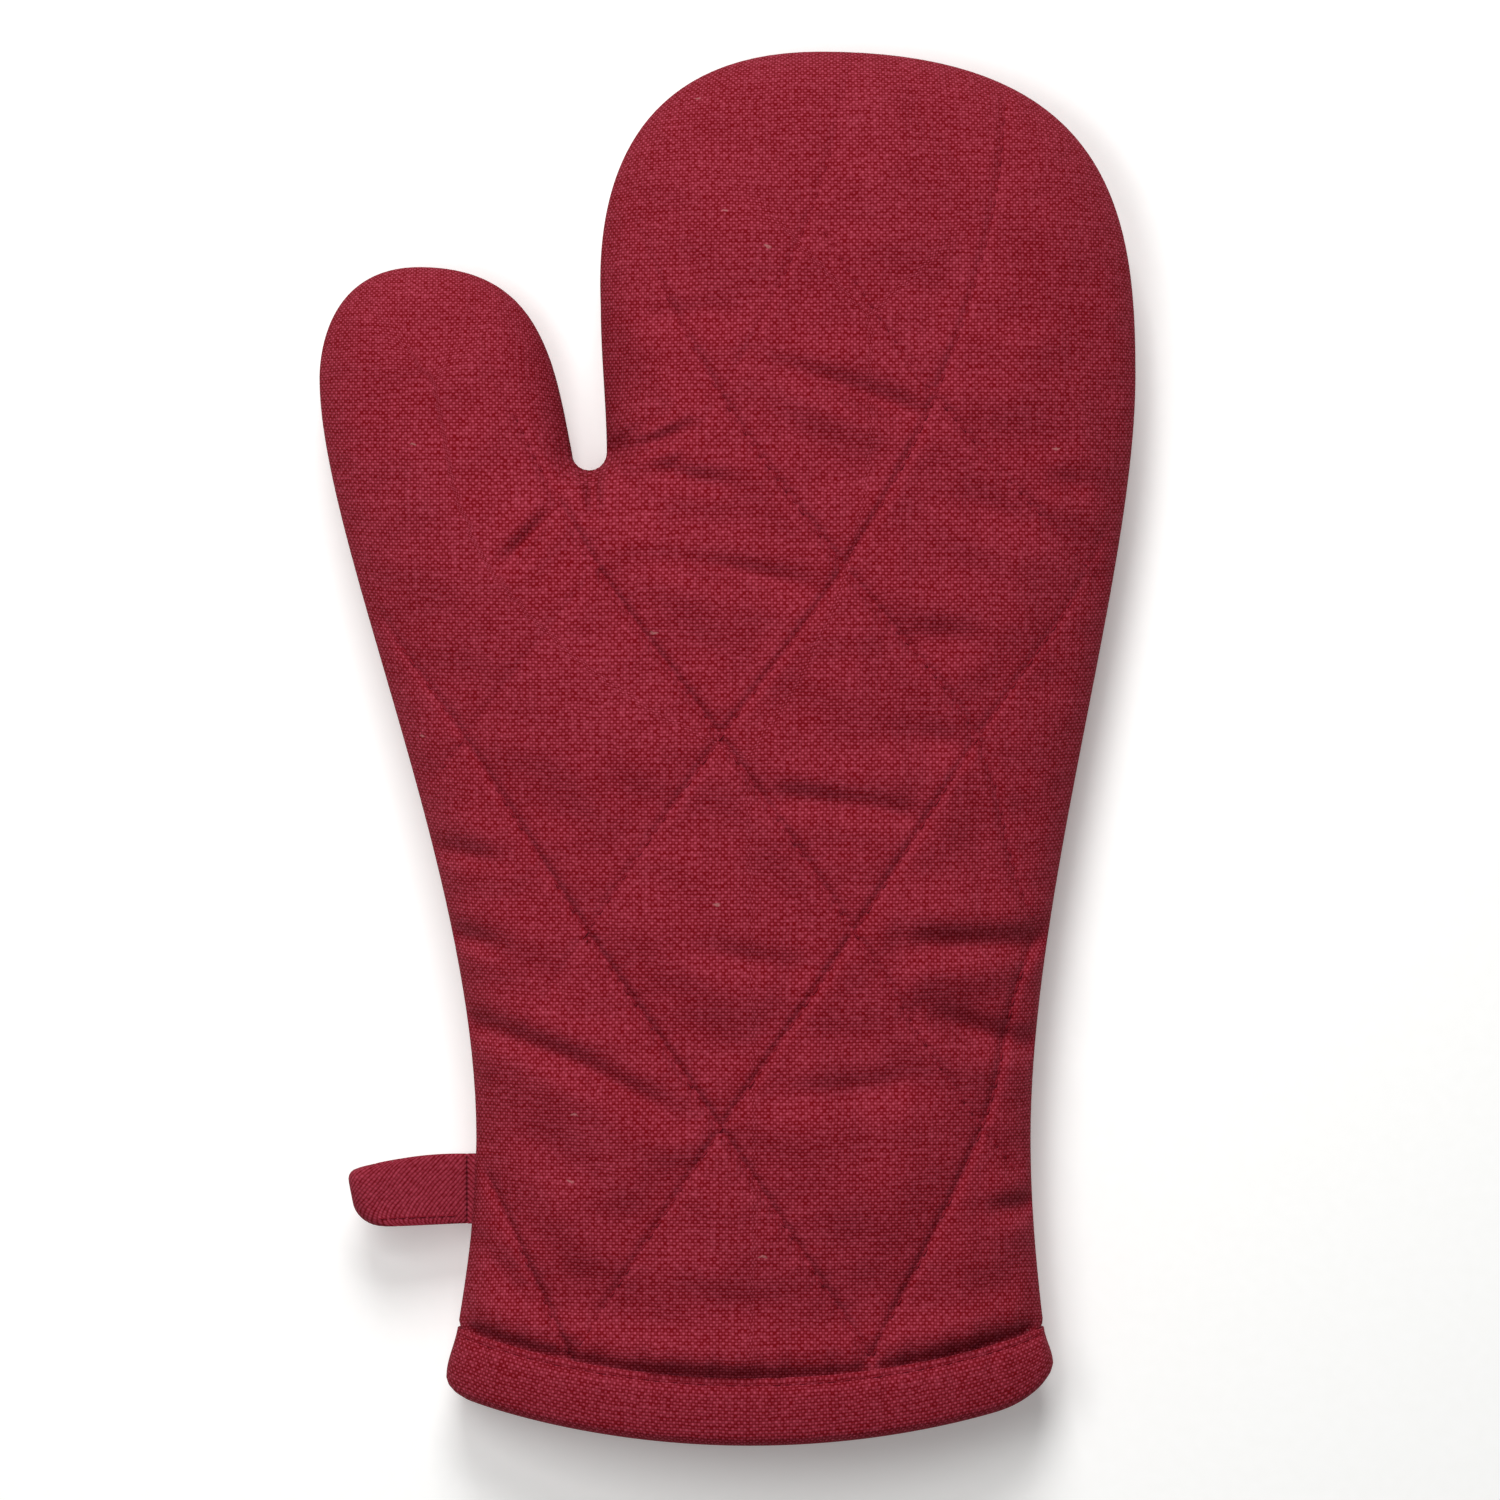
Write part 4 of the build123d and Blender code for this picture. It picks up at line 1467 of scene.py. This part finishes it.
    def tail(self) -> Surface:
        """The sewn-in end: two plies that turn inside the seam, and the thin edge where the loop bends.

        Returns:
            Both as one surface.
        """
        half = self.ply / 2
        root_x = self.hinge_x + self.ply + self.tail_gap
        turns = np.radians(np.linspace(90.0, -90.0, 7))
        bend = np.stack([root_x + self.tail_reach + half * np.cos(turns), half * np.sin(turns)], 1)
        path = evenly(np.concatenate([[[root_x, half]], bend, [[root_x, -half]]]), self.tail_step)
        plies = self.strip(path).thickened(half * self.tail_fill, half * self.tail_fill)
        ends = np.array([[root_x + self.bend_x[0], 0.0], [self.hinge_x + self.bend_x[1], 0.0]])
        edge = self.strip(ends).thickened(self.bend_half, self.bend_half)
        return Surface(
            np.concatenate([plies.points, edge.points]),
            np.concatenate([plies.faces, edge.faces + len(plies.points)]),
            np.concatenate([plies.cloth, edge.cloth]),
        )

    def build(self, finishes: Finishes) -> None:
        """Makes the loop, its tail and its stitches, and puts them in place of their nodes.

        Args:
            finishes: the materials by slot.
        """
        path, name = self.side_path(), "hanging_loop_strip"
        strip = self.strip(path)
        half = self.half_ply(strip)
        loop = strip.thickened(half, half).dressed(name, "hanging_loop", "loop_cotton", finishes, LOOP_BODY)
        strip.flat_size(name)
        self.tail().dressed("loop_tail_strip", "loop_tail", "loop_cotton", finishes)
        self.stitching(path).dressed("loop_stitches", "loop_stitching", "thread", finishes, LOOP_BODY)


def linear(colour: str) -> tuple[float, float, float, float]:
    """An sRGB colour made linear.

    Args:
        colour: a hash and six hex digits.

    Returns:
        Red, green, blue and alpha.
    """
    parts = [int(colour[k : k + 2], 16) / 255 for k in (1, 3, 5)]
    red, green, blue = (p / 12.92 if p <= 0.04045 else ((p + 0.055) / 1.055) ** 2.4 for p in parts)
    return red, green, blue, 1.0


def add_node(tree: Tree, kind: str, settings: dict, output: int | str = 0) -> Socket | None:
    """Adds a node, and sets or links its inputs and properties in the order given.

    Args:
        tree: the material's node tree.
        kind: the node's type, without its first words.
        settings: values, or sockets of other nodes, by input name or number or by property name.
        output: which of its outputs to give back.

    Returns:
        That output, or None from a node that has none.
    """
    node = tree.nodes.new(f"ShaderNode{kind}")
    for key, value in settings.items():
        if isinstance(value, Socket):
            tree.links.new(value, node.inputs[key])
        elif isinstance(key, int) or key in node.inputs:
            node.inputs[key].default_value = value
        else:
            setattr(node, key, value)
    return node.outputs[output] if len(node.outputs) else None


@dataclass(frozen=True)
class Finish:
    """What every finish has: a material's name, and its pale and deep colours."""

    name: str
    pale: str
    deep: str

    # Which of a mix's outputs is its colour
    COLOUR = 2

    def colours(self, share: Socket) -> dict:
        """Settings of a mix from the deep colour at 0 to the pale one at 1."""
        return {"data_type": "RGBA", 0: share, 6: linear(self.deep), 7: linear(self.pale)}

    def shading(self, tree: Tree) -> dict:
        """The shader's settings; each finish has its own."""
        raise NotImplementedError

    def material(self) -> bpy.types.Material:
        """Makes a material with the finish's own shading.

        Returns:
            The new material.
        """
        material = bpy.data.materials.new(self.name)
        material.use_nodes = True
        tree = material.node_tree
        tree.nodes.clear()
        shader = add_node(tree, "BsdfPrincipled", self.shading(tree))
        add_node(tree, "OutputMaterial", {"Surface": shader})
        return material


@dataclass(frozen=True)
class WovenCotton(Finish):
    """Plain-woven dyed cotton: matt, with a painted highlight on the crowns of its threads over painted shade
    in the gaps between them, and uneven, slubby threads.
    """

    pitch: float
    turn: float = 0.0
    ribs: float = 0.0
    bump: float = 0.5
    slub: float = 0.6
    sheen: float = 0.04
    lint: float = 0.0

    WANDER, WANDER_SHARE = 5.0, 0.9
    # How much paler the crowns of the threads are painted than the gaps: painted highlight and painted shade
    CROWN_POWER, CROWN_TONE = 0.6, 0.24
    DASH_LENGTH_POWER, DASH_WIDTH_POWER = 0.45, 1.2
    ON_TOP = {"From Min": -0.1, "From Max": 0.25, "To Min": 0.0, "To Max": 0.62}
    # How pale the ribs of a bias strip are painted: painted highlight
    RIB_PAINTED_HIGHLIGHT = 0.6
    BUMP_DEPTH = 0.35
    # Length along the thread, gauge across it and weight of each kind of unevenness
    SLUBS = ((12.0, 0.8, 0.36), (0.8, 16.0, 0.24), (1.3, 1.0, 0.8), (30.0, 26.0, 0.1))
    LINT = "#bd8582"
    LINT_CURL, LINT_BEND, LINT_TURN = 1.6, 1.8, 0.7
    LINT_SHAPE = (0.5, 1.6, 1.0)
    LINT_INNER, LINT_OUTER, LINT_WEIGHT = 0.28, 0.5, 0.42

    def shading(self, tree: Tree) -> dict:
        """Draws the weave on the cloth's own flat coordinates.

        The weave is the product of two sines, one for each set of threads: its sign says which thread lies on
        top, and its size is the crown of that thread. Where a thread of the weft lies on top it gets a pale
        dash, a painted highlight, and the crowns of both threads are painted paler than the gaps between
        them, which is painted shade; a bias strip is stretched, so its dashes run into ribs of painted
        highlight.

        Args:
            tree: the material's node tree.

        Returns:
            The shader's settings.
        """
        add = partial(add_node, tree)
        flat = add("UVMap", {"uv_map": UV_NAME})
        turned = add("Mapping", {"Vector": flat, "Rotation": (0.0, 0.0, self.turn)})
        wander = add("TexNoise", {"Vector": turned, "Scale": UV_UNIT / self.WANDER, "Detail": 1.0}, "Color")
        shift = self.WANDER_SHARE * self.pitch / UV_UNIT
        strayed = add("VectorMath", {"operation": "SCALE", 0: wander, "Scale": shift})
        place = add("VectorMath", {"operation": "ADD", 0: turned, 1: strayed})
        phase = add("VectorMath", {"operation": "SCALE", 0: place, "Scale": math.pi * UV_UNIT / self.pitch})
        waves = add("VectorMath", {"operation": "SINE", 0: phase})
        warp, weft, _ = add("SeparateXYZ", {0: waves}).node.outputs
        weave = add("Math", {"operation": "MULTIPLY", 0: warp, 1: weft})
        crown = add("Math", {"operation": "ABSOLUTE", 0: weave})
        height = add("Math", {"operation": "POWER", 0: crown, 1: self.CROWN_POWER})
        sizes = add("VectorMath", {"operation": "ABSOLUTE", 0: waves})
        warp_size, weft_size, _ = add("SeparateXYZ", {0: sizes}).node.outputs
        long = add("Math", {"operation": "POWER", 0: warp_size, 1: self.DASH_LENGTH_POWER})
        slim = add("Math", {"operation": "POWER", 0: weft_size, 1: self.DASH_WIDTH_POWER})
        dash = add("Math", {"operation": "MULTIPLY", 0: long, 1: slim})
        on_top = add("MapRange", {"Value": weave, **self.ON_TOP})
        # The weft's pale dashes are a painted highlight where it lies on top
        plain = add("Math", {"operation": "MULTIPLY", 0: dash, 1: on_top})
        painted_rib_highlight = add("Math", {"operation": "MULTIPLY", 0: slim, 1: self.RIB_PAINTED_HIGHLIGHT})
        pale = add("Mix", {0: self.ribs, 2: plain, 3: painted_rib_highlight})
        # Painted highlight on the crowns of the threads and painted shade in the gaps
        tone = add("Math", {"operation": "MULTIPLY_ADD", 0: height, 1: self.CROWN_TONE, 2: pale})
        colour = add("Mix", self.colours(self.slubbed(tree, place, tone)), self.COLOUR)
        depth = self.BUMP_DEPTH * self.pitch * MM
        return {
            "Base Color": self.linted(tree, flat, colour) if self.lint else colour,
            "Normal": add("Bump", {"Strength": self.bump, "Distance": depth, "Height": height}),
            "Roughness": 0.92,
            "Specular IOR Level": 0.1,
            "Sheen Weight": self.sheen,
            "Sheen Roughness": 0.6,
            "Sheen Tint": linear(self.pale),
        }

    def slubbed(self, tree: Tree, place: Socket, tone: Socket) -> Socket:
        """Lightens and darkens single threads along their length, and the cloth in soft patches.

        Args:
            tree: the material's node tree.
            place: the flat coordinates.
            tone: the weave's tone.

        Returns:
            The final tone, from 0, deep, to 1, pale.
        """
        add = partial(add_node, tree)
        for run, gauge, weight in self.SLUBS:
            scale = (UV_UNIT / run, UV_UNIT / gauge, 1.0)
            stretched = add("VectorMath", {"operation": "MULTIPLY", 0: place, 1: scale})
            noise = add("TexNoise", {"Vector": stretched, "Scale": 1.0, "Detail": 2.0})
            centred = add("Math", {"operation": "SUBTRACT", 0: noise, 1: 0.5})
            share = 2.0 * weight * self.slub
            tone = add("Math", {"operation": "MULTIPLY_ADD", 0: centred, 1: share, 2: tone})
        return tone

    def linted(self, tree: Tree, flat: Socket, colour: Socket) -> Socket:
        """Lays a few pale, curled flecks of lint on the cloth, one in each cell of a loose grid.

        Args:
            tree: the material's node tree.
            flat: the cloth's flat coordinates.
            colour: the weave's colour.

        Returns:
            The final colour.
        """
        add = partial(add_node, tree)
        curl = add("TexNoise", {"Vector": flat, "Scale": UV_UNIT / self.LINT_CURL}, "Color")
        reach = add("VectorMath", {"operation": "SCALE", 0: curl, "Scale": self.LINT_BEND / UV_UNIT})
        curled = add("VectorMath", {"operation": "ADD", 0: flat, 1: reach})
        turned = (0.0, 0.0, self.LINT_TURN)
        slim = add("Mapping", {"Vector": curled, "Rotation": turned, "Scale": self.LINT_SHAPE})
        scale = UV_UNIT / self.lint
        cells = add("TexVoronoi", {"voronoi_dimensions": "2D", "Vector": slim, "Scale": scale}, "Distance")
        limits = {"From Min": self.LINT_INNER / self.lint, "From Max": self.LINT_OUTER / self.lint}
        fleck = add("MapRange", {"Value": cells, **limits, "To Min": self.LINT_WEIGHT, "To Max": 0.0})
        return add("Mix", {"data_type": "RGBA", 0: fleck, 6: colour, 7: linear(self.LINT)}, self.COLOUR)


@dataclass(frozen=True)
class SewingThread(Finish):
    """Twisted cotton thread: matt, a little darker than the cloth, with fine slanting plies."""

    ply: float = 0.35
    slant: float = 0.6

    def shading(self, tree: Tree) -> dict:
        """Draws slanting bands along each stitch, a ply apart; a wave of scale 1 has 20 radians a unit.

        Args:
            tree: the material's node tree.

        Returns:
            The shader's settings.
        """
        flat = add_node(tree, "UVMap", {"uv_map": UV_NAME})
        slant = add_node(tree, "Mapping", {"Vector": flat, "Rotation": (0.0, 0.0, self.slant)})
        scale = UV_UNIT / self.ply * 2.0 * math.pi / 20.0
        plies = add_node(tree, "TexWave", {"Vector": slant, "Scale": scale}, "Fac")
        colour = add_node(tree, "Mix", self.colours(plies), self.COLOUR)
        return {"Base Color": colour, "Roughness": 0.85, "Specular IOR Level": 0.1}


@dataclass(frozen=True)
class CottonBatting(Finish):
    """Lofted cotton wadding: soft, matt and cloudy, off-white."""

    tuft: float = 3.0
    loft: float = 1.2

    def shading(self, tree: Tree) -> dict:
        """Draws cloudy tufts in Object coordinates.

        Args:
            tree: the material's node tree.

        Returns:
            The shader's settings.
        """
        place = add_node(tree, "TexCoord", {}, "Object")
        tufts = add_node(tree, "TexNoise", {"Vector": place, "Scale": 1.0 / (self.tuft * MM), "Detail": 4.0})
        raised = add_node(tree, "Bump", {"Strength": 0.6, "Distance": self.loft * MM, "Height": tufts})
        colour = add_node(tree, "Mix", self.colours(tufts), self.COLOUR)
        return {"Base Color": colour, "Normal": raised, "Roughness": 0.95, "Sheen Weight": 0.3}


@dataclass(frozen=True)
class LitPaper(Finish):
    """Matt white paper on a light table: it glows a little, so that shadows stay faint."""

    grain: float = 2.5
    glow: float = 0.22

    def shading(self, tree: Tree) -> dict:
        """Draws a faint grain in Object coordinates, and lets the paper glow in its own colour.

        Args:
            tree: the material's node tree.

        Returns:
            The shader's settings.
        """
        place = add_node(tree, "TexCoord", {}, "Object")
        grain = add_node(tree, "TexNoise", {"Vector": place, "Scale": 1.0 / (self.grain * MM)})
        colour = add_node(tree, "Mix", self.colours(grain), self.COLOUR)
        glow = {"Emission Color": colour, "Emission Strength": self.glow}
        return {"Base Color": colour, "Roughness": 0.9, **glow}


FINISHES: dict[str, Finish] = {
    # Coarse red canvas: pale weft dashes of painted highlight over deep red gaps of painted shade, with a
    # little lint
    "cover_cotton": WovenCotton("red_cotton_canvas", "#b24559", "#72040f", 0.66, lint=55.0),
    # The same canvas cut in a strip and folded, a shade deeper, with the same painted highlight and shade in
    # its weave
    "binding_cotton": WovenCotton("red_cotton_binding", "#b04357", "#70040f", 0.66),
    # A strip cut on the bias and pressed: slanting ribs of painted highlight instead of dashes
    "loop_cotton": WovenCotton(
        "red_cotton_bias_strip", "#a83c4f", "#6a040e", 0.8, turn=math.radians(45), ribs=0.75
    ),
    # Unbleached cotton, a little finer and flatter than the cover: pale and plain, with the same painted
    # highlight and shade in its weave
    "lining_cotton": WovenCotton("natural_cotton_lining", "#dcd0b6", "#a99a7d", 0.6, bump=0.4),
    # Carded cotton, not woven: cloudy and off-white
    "batting": CottonBatting("cotton_batting", "#efeae0", "#cfc6b4"),
    # Plied and twisted cotton, dyed to match: fine slanting bands
    "thread": SewingThread("red_cotton_thread", "#8e1e2e", "#6c0c1a"),
}


@dataclass(frozen=True)
class Studio:
    """A pale, lit floor, soft light from beyond the fingertips and a camera straight above."""

    pixels: int = 1500
    pixel_size: float = 0.2157
    middle: Point = (4.85, -0.54)
    camera_height: float = 1500.0
    sensor: float = 36.0
    world_light: float = 0.16
    paper: LitPaper = LitPaper("pale_studio_paper", "#f8f8f7", "#f4f4f2")
    floor_reach: float = 2500.0
    floor_z: float = -0.4
    # Each soft box's name, place, size and power in watts
    lamps: tuple[tuple[str, tuple[float, float, float], float, float], ...] = (
        ("key", (-40.0, 1000.0, 1050.0), 600.0, 14.0),
        ("overhead", (-150.0, 40.0, 560.0), 260.0, 1.5),
    )

    def build(self) -> None:
        """Adds the floor, the lights, the world and the camera."""
        self.floor()
        for lamp in self.lamps:
            self.light(*lamp)
        world = bpy.data.worlds.new("studio")
        world.use_nodes = True
        back = world.node_tree.nodes["Background"]
        back.inputs["Color"].default_value = (1.0, 1.0, 1.0, 1.0)
        back.inputs["Strength"].default_value = self.world_light
        bpy.context.scene.world = world
        bpy.context.scene.view_settings.view_transform = "Standard"
        self.camera()

    def floor(self) -> None:
        """A wide sheet of paper just under the mitt."""
        corners = self.floor_reach * np.array([[-1.0, -1.0], [1.0, -1.0], [1.0, 1.0], [-1.0, 1.0]])
        points = np.column_stack([corners, np.full(4, self.floor_z)])
        sheet = Surface(points, np.array([[0, 1, 2], [0, 2, 3]]), corners)
        sheet.piece("floor", self.paper.material())

    def light(self, name: str, place: tuple[float, float, float], size: float, power: float) -> None:
        """A square soft box that faces the mitt's middle.

        Args:
            name: the lamp's name.
            place: where it hangs.
            size: the length of its sides.
            power: in watts.
        """
        data = bpy.data.lights.new(name, "AREA")
        data.size = size * MM
        data.energy = power
        lamp = bpy.data.objects.new(name, data)
        lamp.location = Vector(place) * MM
        lamp.rotation_mode = "QUATERNION"
        lamp.rotation_quaternion = (-lamp.location).to_track_quat("-Z", "Y")
        bpy.context.scene.collection.objects.link(lamp)

    def camera(self) -> None:
        """A long lens straight above, framed so that the seam's plane has the photograph's scale."""
        data = bpy.data.cameras.new("camera")
        data.sensor_width = self.sensor
        data.lens = self.sensor * (self.camera_height - PLAN.seam_z) / (self.pixels * self.pixel_size)
        data.clip_start, data.clip_end = 0.01, 100.0
        camera = bpy.data.objects.new("camera", data)
        camera.location = Vector((*self.middle, self.camera_height)) * MM
        bpy.context.scene.collection.objects.link(camera)
        bpy.context.scene.camera = camera


def main() -> None:
    """Builds the mitt's sub-assemblies in order and reports each piece."""
    logging.basicConfig(level=logging.INFO, format="%(message)s")
    finishes = {slot: finish.material() for slot, finish in FINISHES.items()}
    quilting, puckers = Quilting(), Puckers()
    outlines = {layer.word: Outline(layer.inset) for layer in LAYERS}
    cuts = {layer.word: cut_panel(outlines[layer.word], layer, quilting) for layer in LAYERS}
    puckers.simulate(outlines[COVER.word], quilting)
    for side in Side:
        Panel(side, quilting, puckers).build(outlines, cuts, finishes)
    SideSeam().build(finishes)
    Cuff().build(finishes)
    HangingLoop().build(finishes)
    Studio().build()


if __name__ == "__main__":
    main()
